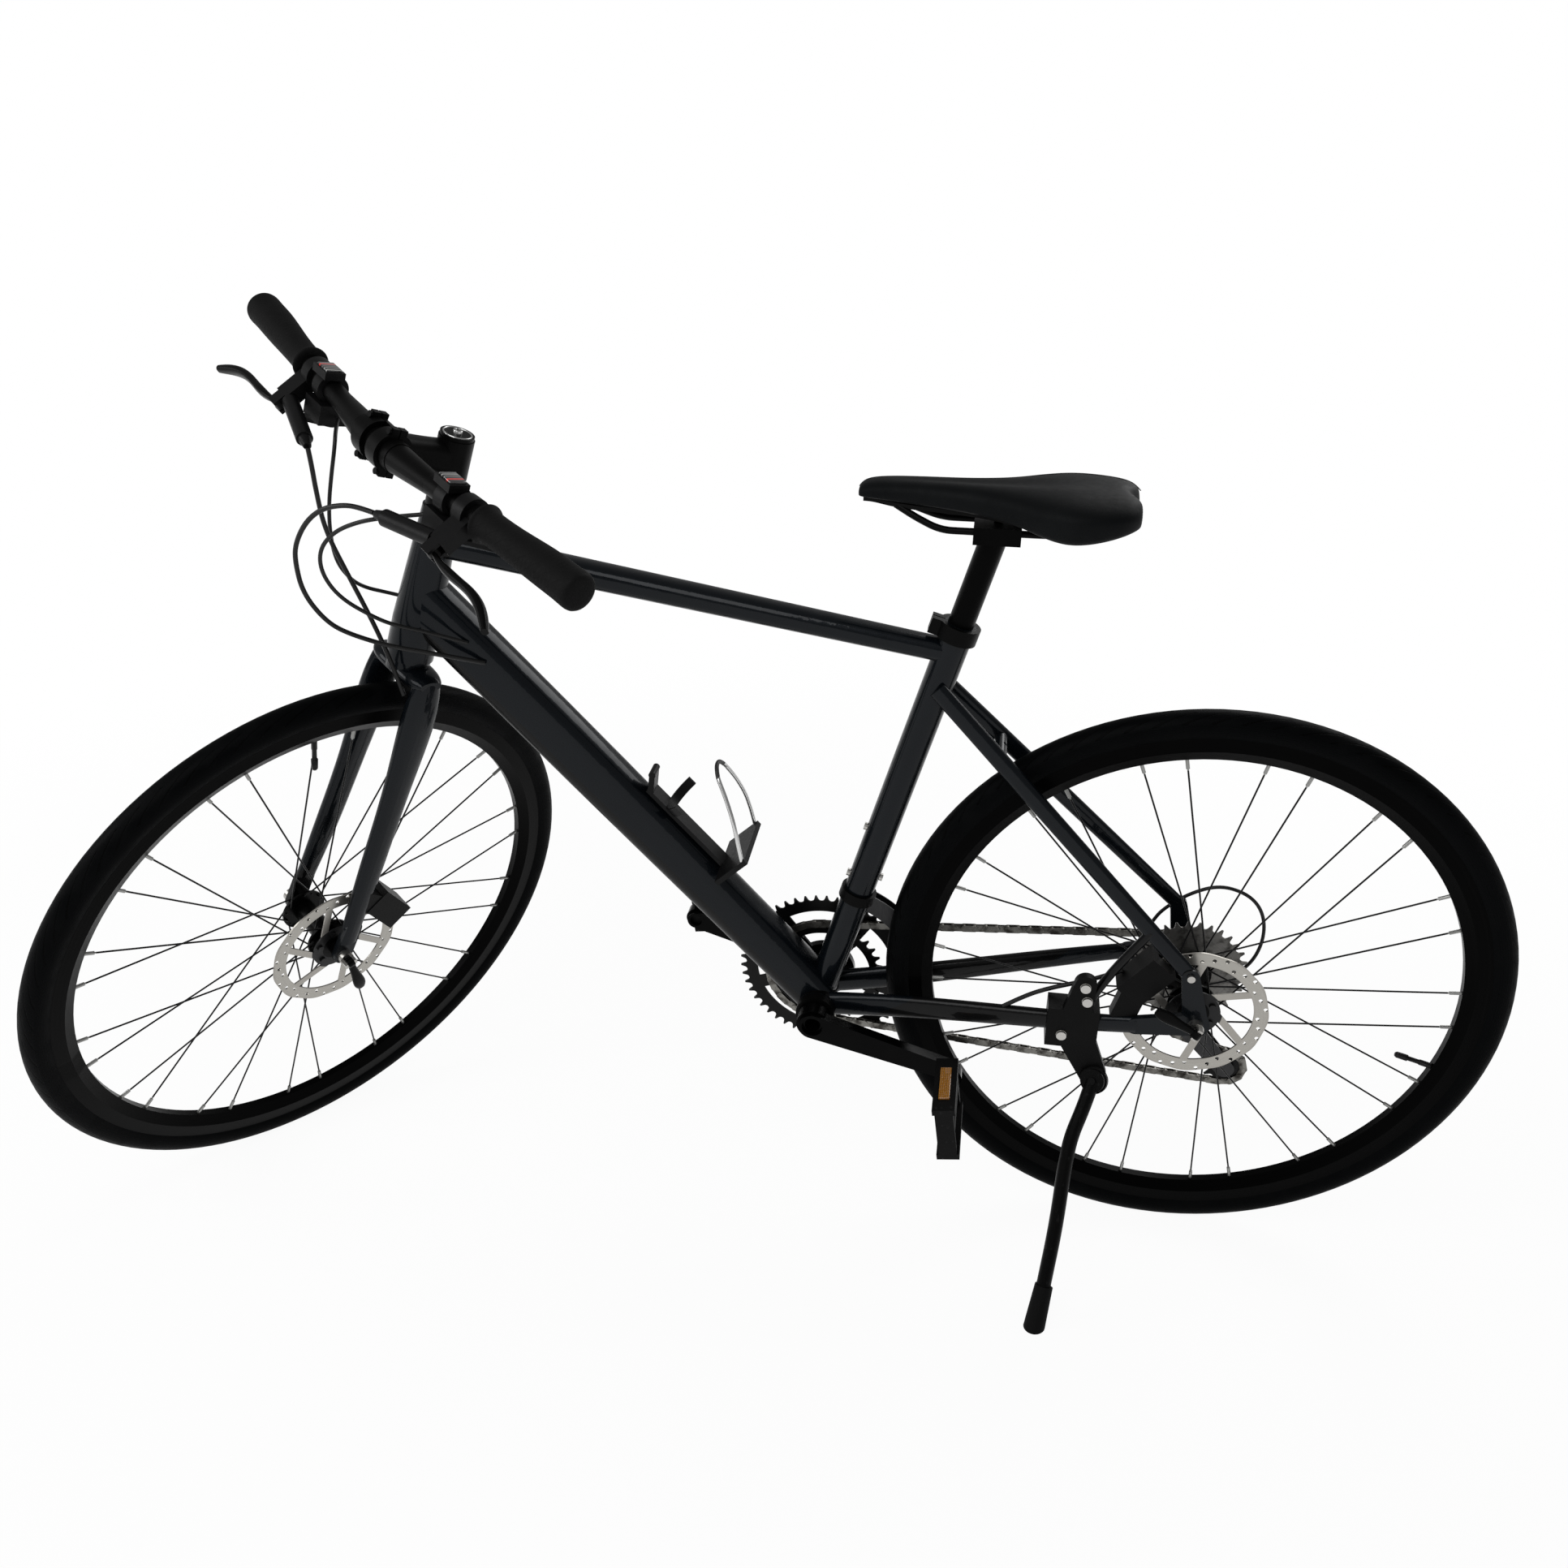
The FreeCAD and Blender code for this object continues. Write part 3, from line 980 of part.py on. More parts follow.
def rear_derailleur(chainstay_piece):
    """Body on the hanger, link, lower knuckle, cage and two pulleys."""
    eye = S.link_eye
    eye_radius = S.knuckle_pin_radius * 2
    ear, high_length = S.link_ear, S.link_ear + S.link_radius
    rest = eye / 2 + S.running_gap
    high_ear = LINK_HIGH - LINK_AXIS * (rest + high_length / 2)
    low_ear = LINK_LOW + LINK_AXIS * (rest + ear / 2)
    dropout_out = AXLE_END + S.dropout_thickness
    bolt = V(-S.hanger_back, -dropout_out, -S.hanger_drop)
    shoulder = bolt - LEFT * (S.body_radius / 2)
    far_end = LINK_HIGH - LINK_AXIS * (rest + high_length - S.link_arm_radius)
    body = fuse(
        rod(S.body_radius, S.body_radius, bolt, -LEFT),
        rod(S.link_arm_radius, (far_end - shoulder).Length, shoulder, unit(far_end - shoulder)),
        drum(eye_radius, high_length, high_ear, LINK_AXIS),
        rod(S.knuckle_pin_radius, eye + high_length / 2, high_ear, LINK_AXIS),
    )
    sub_part("rear_derailleur_knuckle", cut(body, chainstay_piece))
    link = fuse(
        drum(eye_radius, eye, LINK_HIGH, LINK_AXIS), drum(eye_radius, eye, LINK_LOW, LINK_AXIS),
        rod(S.link_radius, LINK.Length, LINK_HIGH, unit(LINK)),
    )
    holes = [drum(S.knuckle_pin_radius + S.bearing_gap, eye * 2, point, LINK_AXIS) for point in (LINK_HIGH, LINK_LOW)]
    sub_part("rear_derailleur_link", cut(link, *holes))
    outer_face = CHAIN_PLACE - S.cage_half_gap - S.cage_plate_thickness
    pivot = V(GUIDE.x, outer_face - S.running_gap, GUIDE.z)
    barrel = rod(S.knuckle_radius, S.knuckle_width, pivot, -LEFT)
    inside = V(GUIDE.x, pivot.y - S.knuckle_width / 2, GUIDE.z)
    low_knuckle = fuse(
        barrel, drum(eye_radius, ear, low_ear, LINK_AXIS),
        rod(S.knuckle_pin_radius, eye + ear / 2, low_ear, -LINK_AXIS),
        rod(S.link_arm_radius, (low_ear - inside).Length, inside, unit(low_ear - inside)),
    )
    pin_length = S.knuckle_width / 2
    pin_hole = rod(S.link_radius + S.bearing_gap, pin_length + S.running_gap, pivot, -LEFT)
    sub_part("rear_derailleur_p_knuckle", cut(low_knuckle, pin_hole))
    plates = []
    for side in SIDES:
        place = CHAIN_PLACE + side * (S.cage_half_gap + S.cage_plate_thickness / 2)
        plates.append(formed(arm(V(GUIDE.x, 0, GUIDE.z), V(TENSION.x, 0, TENSION.z), S.cage_plate_radius,
                                 S.cage_plate_radius * 0.8, S.cage_plate_thickness, place)))
    bolts = [drum(S.pulley_bolt_radius, S.cage_half_gap * 2, point, LEFT) for point in (GUIDE, TENSION)]
    pin = rod(S.link_radius, pin_length, V(GUIDE.x, outer_face, GUIDE.z), -LEFT)
    sub_part("rear_derailleur_cage", fuse(*plates, *bolts, pin))
    for label, centre in (("upper_pulley", GUIDE), ("lower_pulley", TENSION)):
        teeth = int(S.pulley_teeth)
        bore = S.pulley_bolt_radius + S.bearing_gap
        wheel_plate = slab([toothed(teeth, phase_on(centre, teeth)), circle(bore)], S.pulley_thickness)
        width = (S.cage_half_gap - S.running_gap) * 2
        core = slab([circle(S.pulley_hub_radius), circle(bore)], width)
        pulley = wheel_plate.fuse(core)
        pulley.translate(centre)
        sub_part(label, formed(pulley))


FD_PIN = CRANK_AXIS + around((S.fd_low_radius + S.fd_high_radius) / 2, degrees(S.fd_start_angle + S.fd_arm))


def front_derailleur():
    """Band and body on the seat tube, with the cage that slides on its pin."""
    band = ring(S.band_radius, S.seat_tube_radius + S.bearing_gap, S.band_height, on_seat(S.band_up), SEAT)
    inner_plate = -(CHAIN_PLACE + S.fd_half_gap + S.fd_plate_thickness)
    body_end = inner_plate - S.fd_arm
    height = S.band_up - (FD_PIN - CRANK_AXIS).Length + S.fd_arm * 2
    middle = V(FD_PIN.x, -(body_end / 2 + S.seat_tube_radius / 4), FD_PIN.z) + SEAT * (height / 2 - S.fd_arm)
    body = block(S.fd_arm * 2, body_end - S.seat_tube_radius / 2, height, middle, FreeCAD.Rotation(LEFT, S.seat_angle - 90))
    pin_hole = drum(S.pulley_bolt_radius + S.bearing_gap, S.band_radius * 4, V(FD_PIN.x, 0, FD_PIN.z), LEFT)
    clear = rod(S.seat_tube_radius + S.bearing_gap, S.seat_tube_length, CRANK_AXIS, SEAT)
    carrier = cut(fuse(band, body), clear, pin_hole)

    collar_middle = on_seat(S.seat_tube_length - S.collar_height / 2)
    collar = ring(S.collar_radius, S.seat_tube_radius + S.bearing_gap, S.collar_height, collar_middle, SEAT)
    ahead = V(SEAT.z, 0, -SEAT.x)
    turn = FreeCAD.Rotation(LEFT, S.seat_angle - 90)
    ears = block(S.collar_ear, S.collar_ear, S.collar_height, collar_middle + ahead * S.collar_radius, turn)
    slit = block(S.collar_ear * 3, S.collar_slot, S.collar_height * 2, collar_middle + ahead * S.collar_radius * 1.5, turn)
    clamp = cut(fuse(collar, ears), clear, slit)
    sub_part("seat_tube_clamps", group(carrier, clamp))

    plates = []
    start, end = degrees(S.fd_start_angle), degrees(S.fd_end_angle)
    for side in SIDES:
        corners = [around(S.fd_low_radius, start), around(S.fd_low_radius, end), around(S.fd_high_radius, end),
                   around(S.fd_high_radius, start)]
        middle_angle = (start + end) / 2
        edges = [
            Part.Arc(corners[0], around(S.fd_low_radius, middle_angle), corners[1]).toShape(),
            Part.LineSegment(corners[1], corners[2]).toShape(),
            Part.Arc(corners[2], around(S.fd_high_radius, middle_angle), corners[3]).toShape(),
            Part.LineSegment(corners[3], corners[0]).toShape(),
        ]
        plate = slab([Part.Wire(edges)], S.fd_plate_thickness)
        plate.translate(CRANK_AXIS + LEFT * (CHAIN_PLACE + side * (S.fd_half_gap + S.fd_plate_thickness / 2)))
        plates.append(formed(plate))
    width = (S.fd_half_gap + S.fd_plate_thickness) * 2
    spots = (around(S.fd_low_radius + S.fd_arm / 2, end - degrees(S.fd_arm / 4)),
             around(S.fd_high_radius - S.fd_arm / 2, start + degrees(S.fd_arm / 2)))
    ties = [drum(S.pulley_bolt_radius, width, CRANK_AXIS + spot + LEFT * CHAIN_PLACE, LEFT) for spot in spots]
    length = inner_plate - S.seat_tube_radius
    pin = rod(S.pulley_bolt_radius, length, V(FD_PIN.x, -inner_plate - S.fd_plate_thickness / 2, FD_PIN.z), LEFT)
    sub_part("front_derailleur_cage", fuse(*plates, *ties, pin))


# Ground under the leaning bike

STEERING = FreeCAD.Placement(V(0, 0, 0), FreeCAD.Rotation(HEAD, S.steer_angle), FORK_FOOT)
BAR_SKEW = FreeCAD.Placement(V(0, 0, 0), FreeCAD.Rotation(HEAD, S.stem_skew), FORK_FOOT)


def tyre_depth(normal, axle):
    """How far below its centre a tyre reaches, square to the ground."""
    middle = S.tyre_radius - S.tyre_width / 2
    return middle * math.sqrt(1 - normal.dot(axle) ** 2) + S.tyre_width / 2


def find_ground():
    """The ground's normal and its depth below the rear axle, with both tyres on it."""
    front = STEERING.multVec(FRONT_AXLE)
    front_axle = STEERING.Rotation.multVec(LEFT)
    lean = math.sin(degrees(S.lean_angle))
    low, high = -lean, lean
    for halving in range(60):
        pitch = (low + high) / 2
        normal = V(pitch, -lean, math.sqrt(1 - pitch ** 2 - lean ** 2))
        front_low = normal.dot(front) - tyre_depth(normal, front_axle)
        rear_low = -tyre_depth(normal, LEFT)
        low, high = (low, pitch) if front_low > rear_low else (pitch, high)
    return normal, tyre_depth(normal, LEFT)


GROUND, GROUND_DEPTH = find_ground()


# Fork and stem

def leg_ahead(up):
    bend_share = 1.3
    return S.fork_rake * max(0, 1 - up / S.crown_up) ** bend_share


def fork():
    """Steerer, crown and two legs that sweep out over the tyre and bow ahead to the axle."""
    end_place = S.fork_spacing / 2 + S.fork_end_thickness / 2
    leg_square_share, foot_share = 0.9, 0.1
    crown_shares = ((-1.2, 0.5, 0.6), (-0.75, 0.92, 0.95), (0, 1, 1), (0.75, 0.92, 0.95), (1.2, 0.5, 0.6))
    crown = []
    for out_share, high_share, deep_share in crown_shares:
        centre = on_head(S.crown_up, 0, S.leg_half_gap * out_share)
        crown.append(oval(centre, HEAD, HEAD_AHEAD, S.crown_half_height * high_share, S.crown_half_depth * deep_share,
                          leg_square_share))
    pieces = [formed(loft(crown))]
    # share of the way down, share of the way out to the axle's end, share of the taper, share of the full section
    leg_shares = ((-0.008, -0.05, 0, 0.72), (0.09, 0.1, 0, 1), (0.3, 0.3, 0.25, 1), (0.6, 0.56, 0.6, 1), (0.84, 0.85, 0.9, 1),
                  (0.95, 1, 1, 1))
    for side in SIDES:
        sections = []
        for down_share, out_share, taper_share, full_share in leg_shares:
            up = S.crown_up * (1 - down_share)
            out = S.leg_half_gap + (end_place - S.leg_half_gap) * out_share
            half_width = S.leg_half_width + (S.leg_low_half_width - S.leg_half_width) * taper_share
            half_depth = S.leg_half_depth + (S.leg_low_half_depth - S.leg_half_depth) * taper_share
            sections.append(oval(on_head(up, leg_ahead(up), side * out), LEFT, HEAD_AHEAD, half_width * full_share,
                                 half_depth * full_share, leg_square_share))
        pieces.append(formed(loft(sections)))
        foot = on_head(S.crown_up * foot_share, leg_ahead(S.crown_up * foot_share))
        flat = arm(V(FRONT_AXLE.x, 0, 0), V(foot.x, 0, foot.z), S.leg_low_half_depth, S.leg_low_half_depth,
                   S.fork_end_thickness, side * end_place)
        pieces.append(formed(flat))
    steerer = rod(S.steerer_radius, S.steerer_top - S.crown_up, on_head(S.crown_up), HEAD)
    race_top = S.head_low - S.running_gap
    race = rod(S.head_low_radius - S.tube_wall, race_top - S.crown_up, on_head(S.crown_up), HEAD)
    axle_hole = drum(S.axle_radius + S.bearing_gap, S.fork_spacing * 2, FRONT_AXLE, LEFT)
    inner_faces = drum(S.rotor_radius / 2, S.fork_spacing, FRONT_AXLE, LEFT)
    return sub_part("fork", cut(fuse(*pieces, steerer, race), axle_hole, inner_faces), "steered")


def stem():
    """Stem with a split face plate, on spacers, with the top cap."""
    middle = on_head(S.steerer_top - S.stem_height / 2)
    bar_centre = on_head(S.bar_up, S.stem_reach)
    root = on_head(S.steerer_top - S.stem_height / 2, S.stem_radius / 2)
    along = unit(bar_centre - root)
    over = V(-along.z, 0, along.x)
    length = (bar_centre - root).Length
    sections = [
        oval(root, LEFT, over, S.stem_radius * 0.85, S.stem_half_depth, 0.8),
        oval(root + along * (length / 2), LEFT, over, S.stem_half_depth * 0.85, S.stem_half_depth * 0.85, 0.8),
        oval(root + along * (length * 0.95), LEFT, over, S.stem_half_depth, S.stem_half_depth * 0.85, 0.8),
    ]
    clamp = drum(S.stem_radius, S.stem_height, middle, HEAD)
    bar_clamp = drum(S.bar_clamp_radius, S.bar_clamp_width, bar_centre, LEFT)
    turn = FreeCAD.Rotation(along, LEFT, over, "XYZ")
    ears = []
    for up in SIDES:
        for side in SIDES:
            spot = bar_centre + over * (up * S.bar_clamp_radius) + LEFT * (side * (S.bar_clamp_width - S.plate_ear) / 2)
            ears.append(block(S.plate_ear * 2, S.plate_ear, S.plate_ear, spot, turn))
    bar_hole = drum(S.bar_radius + S.bearing_gap, S.bar_clamp_width * 2, bar_centre, LEFT)
    steerer_hole = drum(S.steerer_radius + S.bearing_gap, S.stem_height * 2, middle, HEAD)
    window = block(S.bar_clamp_radius * 2, S.bar_clamp_width / 4, S.bar_clamp_radius * 3,
                   bar_centre + along * S.bar_clamp_radius, turn)
    split = block(S.plate_slot / 4, S.bar_clamp_width * 2, S.bar_clamp_radius * 4, bar_centre, turn)
    body = cut(fuse(clamp, formed(loft(sections)), bar_clamp, *ears), bar_hole, steerer_hole, window, split)
    low = S.head_high + S.running_gap
    high = S.steerer_top - S.stem_height
    count = 3
    step = (high - low) / count
    spacers = [
        ring(S.spacer_radius, S.steerer_radius + S.bearing_gap, step, on_head(low + step * (number + 0.5)), HEAD)
        for number in range(count)
    ]
    cap = rod(S.spacer_radius, S.cap_height, on_head(S.steerer_top), HEAD)
    bolts = [rod(S.screw_head_radius, S.screw_head_height, on_head(S.steerer_top + S.cap_height), HEAD)]
    for up in SIDES:
        for side in SIDES:
            spot = bar_centre + over * (up * S.bar_clamp_radius) + LEFT * (side * (S.bar_clamp_width - S.plate_ear) / 2)
            bolts.append(rod(S.screw_head_radius * 0.8, S.screw_head_height, spot + along * S.plate_ear, along))
    sub_part("stem", group(body, *spacers, cap, *bolts), "bar")


# Handlebar and hand controls

LEVER_OUT = HEAD_AHEAD * math.cos(degrees(S.control_tilt)) - HEAD * math.sin(degrees(S.control_tilt))
LEVER_LIFT = HEAD_AHEAD * math.sin(degrees(S.control_tilt)) + HEAD * math.cos(degrees(S.control_tilt))
LEVER_TURN = FreeCAD.Rotation(LEVER_OUT, LEFT, LEVER_LIFT, "XYZ")
BAR_TURN = FreeCAD.Rotation(HEAD_AHEAD, LEFT, HEAD, "XYZ")


def on_bar(place, out=0, lift=0):
    """A point by the handlebar: place along it, out and lift in and square to the plane of the brake levers."""
    share = max(0, (abs(place) - S.bar_centre_half) / (S.bar_half - S.bar_centre_half))
    base = on_head(S.bar_up + S.bar_rise * share, S.stem_reach - S.bar_back * share, place)
    return base + LEVER_OUT * out + LEVER_LIFT * lift


def bar_run(side):
    return unit(on_bar(side * S.bar_half) - on_bar(side * S.bar_centre_half))


def handlebar():
    """Flat bar, swelled at the stem, with a hollow end on each side."""
    pieces = [drum(S.bar_radius, S.bar_centre_half * 2, on_bar(0), LEFT)]
    bores = []
    for side in SIDES:
        run = bar_run(side)
        start, neck, end = (on_bar(side * place) for place in (S.bar_centre_half, S.bar_taper_end, S.bar_half))
        inside = start - run * S.bar_end_radius
        pieces.append(cone(S.bar_radius, S.bar_end_radius, (neck - inside).Length, inside, run))
        pieces.append(rod(S.bar_end_radius, (end - neck).Length, neck, run))
        bores.append(rod(S.bar_end_radius - S.tube_wall, S.grip_length, end - run * S.grip_length, run * 1))
    sub_part("handlebar", cut(fuse(*pieces), *bores), "bar")


def grips():
    """Swelled grips, each with a flange and a closed end."""
    both = []
    for side in SIDES:
        run = bar_run(side)
        end = on_bar(side * S.bar_half)
        start = end - run * S.grip_length
        half = S.grip_length / 2
        swelled = S.grip_radius + S.grip_swell
        closing = S.grip_swell * 2
        shape = fuse(
            rod(S.grip_flange, S.grip_swell * 2, start, run), cone(S.grip_radius, swelled, half, start, run),
            cone(swelled, S.grip_radius, half, start + run * half, run),
            cone(S.grip_radius, S.bar_end_radius, closing, end, run),
        )
        both.append(cut(shape, rod(S.bar_end_radius + S.bearing_gap, S.grip_length + S.overrun, start - run * S.overrun, run)))
    sub_part("grips", group(*both), "bar")


def pod_bottom(side):
    """The foot of a shifter body, where the pin of its two levers stands."""
    return on_bar(side * S.shifter_pin_place) - HEAD * (S.pod_drop + S.pod_height / 2) - HEAD_AHEAD * S.pod_pin_back


def control_bodies():
    """Brake bodies with their master cylinders, and shifter bodies with their windows, one of each on each side."""
    pieces = []
    for side in SIDES:
        run = bar_run(side)

        def spot(place, out=0, lift=0):
            return on_bar(side * place, out, lift)
        clamp = drum(S.clamp_radius, S.clamp_width, spot(S.clamp_place), run)
        neck_end = S.lever_pivot_out - S.lever_knuckle_radius
        ear_lift = S.lever_knuckle_height / 2 + S.running_gap + S.ear_thickness / 2
        neck = block(neck_end, S.lever_knuckle_radius * 3, ear_lift * 2 + S.ear_thickness, spot(S.lever_pivot_place, neck_end / 2),
                     LEVER_TURN)
        root, tip = spot(S.cylinder_root_place, S.cylinder_root_out), spot(S.cylinder_tip_place, S.cylinder_tip_out)
        cylinder = rod(S.cylinder_radius, (tip - root).Length, root, unit(tip - root))
        boss = cone(S.cylinder_radius * 0.8, S.hose_radius * 1.6, S.cylinder_radius * 1.5, tip, unit(tip - root))
        ears = []
        reach = S.lever_knuckle_radius * 2
        for up in SIDES:
            middle = spot(S.lever_pivot_place, S.lever_pivot_out - S.lever_knuckle_radius / 2, up * ear_lift)
            ears.append(block(reach + S.lever_knuckle_radius, reach, S.ear_thickness, middle, LEVER_TURN))
        pivot = spot(S.lever_pivot_place, S.lever_pivot_out)
        room = drum(S.lever_knuckle_radius + S.running_gap, S.lever_knuckle_height + S.running_gap * 2, pivot, LEVER_LIFT)
        bar_hole = drum(S.bar_end_radius + S.bearing_gap, S.bar_half / 2, spot(S.clamp_place), run)
        body = cut(fuse(clamp, neck, cylinder, boss, *ears), room, bar_hole)
        pin = drum(S.lever_pin_radius, ear_lift * 2 + S.ear_thickness, pivot, LEVER_LIFT)
        pieces.append(fuse(body, pin))

        collar = drum(S.clamp_radius, S.clamp_width, spot(S.pod_place), run)
        under = on_bar(side * S.pod_place) - HEAD * S.pod_drop + HEAD_AHEAD * S.pod_ahead
        pod = block(S.pod_length, S.pod_width, S.pod_height, under, BAR_TURN)
        above = on_bar(side * S.pod_place) + HEAD * S.clamp_radius
        window = block(S.window_length, S.pod_width * 0.8, S.window_height, above + HEAD_AHEAD * S.window_height / 2, BAR_TURN)
        levers_deep = (S.shift_lever_thick + S.running_gap) * 2
        lever_pin = rod(S.lever_pin_radius, levers_deep + S.shift_lever_thick / 2, pod_bottom(side) + HEAD * S.lever_pin_radius, -HEAD)
        pod_hole = drum(S.bar_end_radius + S.bearing_gap, S.pod_width * 2, spot(S.pod_place), run)
        pieces.append(fuse(cut(fuse(collar, pod, window), pod_hole), lever_pin))
    sub_part("control_bodies", group(*pieces), "bar")


def brake_lever(side):
    """Lever blade on its knuckle, swept out towards the tip."""
    name = "left_brake_lever" if side > 0 else "right_brake_lever"
    pivot_place, pivot_out = S.lever_pivot_place, S.lever_pivot_out
    knuckle = drum(S.lever_knuckle_radius, S.lever_knuckle_height, on_bar(side * pivot_place, pivot_out), LEVER_LIFT)
    blade_shares = ((0.02, 0.05, 0.6), (0.12, 0.16, 0.7), (0.26, 0.25, 1), (0.45, 0.29, 1), (0.68, 0.38, 1.1), (0.88, 0.7, 1.05),
                    (1, 1, 0.8))
    sections = []
    points = [on_bar(side * (pivot_place + S.blade_reach * along), pivot_out + S.blade_sweep * out)
              for along, out, wide in blade_shares]
    for number, (along, out, wide) in enumerate(blade_shares):
        before, after = points[max(0, number - 1)], points[min(len(points) - 1, number + 1)]
        across = unit(LEVER_LIFT.cross(unit(after - before)))
        sections.append(oval(points[number], across, LEVER_LIFT, S.blade_half_depth * wide, S.blade_half_height * wide, 0.8))
    pin_hole = drum(S.lever_pin_radius + S.bearing_gap, S.lever_knuckle_height * 2, on_bar(side * pivot_place, pivot_out), LEVER_LIFT)
    sub_part(name, cut(fuse(knuckle, formed(loft(sections))), pin_hole), "bar")


def shift_lever(side, release):
    """Thumb lever, or the shorter release lever under it, on the shifter's pin."""
    name = ("left_" if side > 0 else "right_") + ("release_lever" if release else "shift_lever")
    length = S.release_lever_length if release else S.shift_lever_length
    heading = degrees(S.release_heading if release else S.shift_heading)
    level = S.shift_lever_thick + S.running_gap if release else 0
    tip = V(length * math.cos(heading), 0, side * length * math.sin(heading))
    plate = arm(V(0, 0, 0), tip, S.shift_lever_width / 2, S.shift_lever_width / 2, S.shift_lever_thick, 0)
    hole = Part.makeCylinder(S.lever_pin_radius + S.bearing_gap, S.overrun * 2, LEFT * -S.overrun, LEFT)
    lever = plate.cut(hole)
    lever.rotate(V(0, 0, 0), AHEAD, -90)
    lever.Placement = FreeCAD.Placement(V(0, 0, 0), BAR_TURN) * lever.Placement
    lever.translate(pod_bottom(side) - HEAD * (S.running_gap + S.shift_lever_thick / 2 + level))
    sub_part(name, formed(lever), "bar")


# Quick releases

def quick_release(centre, face, angle, far_face):
    """Axle with its nut, cam housing and lever; gives the fixed pieces, the lever and its pin."""
    ray = around(1, degrees(angle))
    pin_axis = unit(ray.cross(LEFT))
    head = centre + LEFT * (face + S.cam_width + S.running_gap + S.qr_head_radius)
    turn = FreeCAD.Rotation(ray, LEFT, pin_axis, "XYZ")
    ear_off = S.qr_head_width / 2 + S.running_gap + S.cam_ear / 2
    ear_long = S.running_gap + S.qr_head_radius * 1.6
    ears = [
        block(S.qr_head_radius, ear_long + S.cam_width / 2, S.cam_ear,
              centre + LEFT * (face + S.cam_width / 2 + ear_long / 2 + S.cam_width / 4) + pin_axis * (up * ear_off), turn)
        for up in SIDES
    ]
    pin = drum(S.qr_pin_radius, (ear_off + S.cam_ear / 2) * 2, head, pin_axis)
    housing = fuse(rod(S.cam_radius, S.cam_width, centre + LEFT * face, LEFT), *ears, pin)
    axle = rod(S.axle_radius, face + far_face, centre - LEFT * far_face, LEFT)
    nut = rod(S.nut_radius, S.nut_width, centre - LEFT * far_face, -LEFT)
    sections = []
    for share, wide_share, off_share in ((0.02, 0.5, 0), (0.25, 0.7, 0.1), (0.6, 1, 0.25), (0.92, 1, 0.2), (1, 0.7, 0.15)):
        middle = head + ray * (S.qr_length * share) + LEFT * (S.qr_head_radius * off_share)
        sections.append(oval(middle, pin_axis, LEFT, S.qr_half_width * wide_share, S.qr_half_thick * (0.6 + 0.4 * wide_share), 0.8))
    blade = fuse(drum(S.qr_head_radius, S.qr_head_width, head, pin_axis), formed(loft(sections)))
    lever = cut(blade, drum(S.qr_pin_radius + S.bearing_gap, S.qr_head_width * 2, head, pin_axis))
    return [housing, axle, nut], lever, head, pin_axis


# Saddle and seatpost

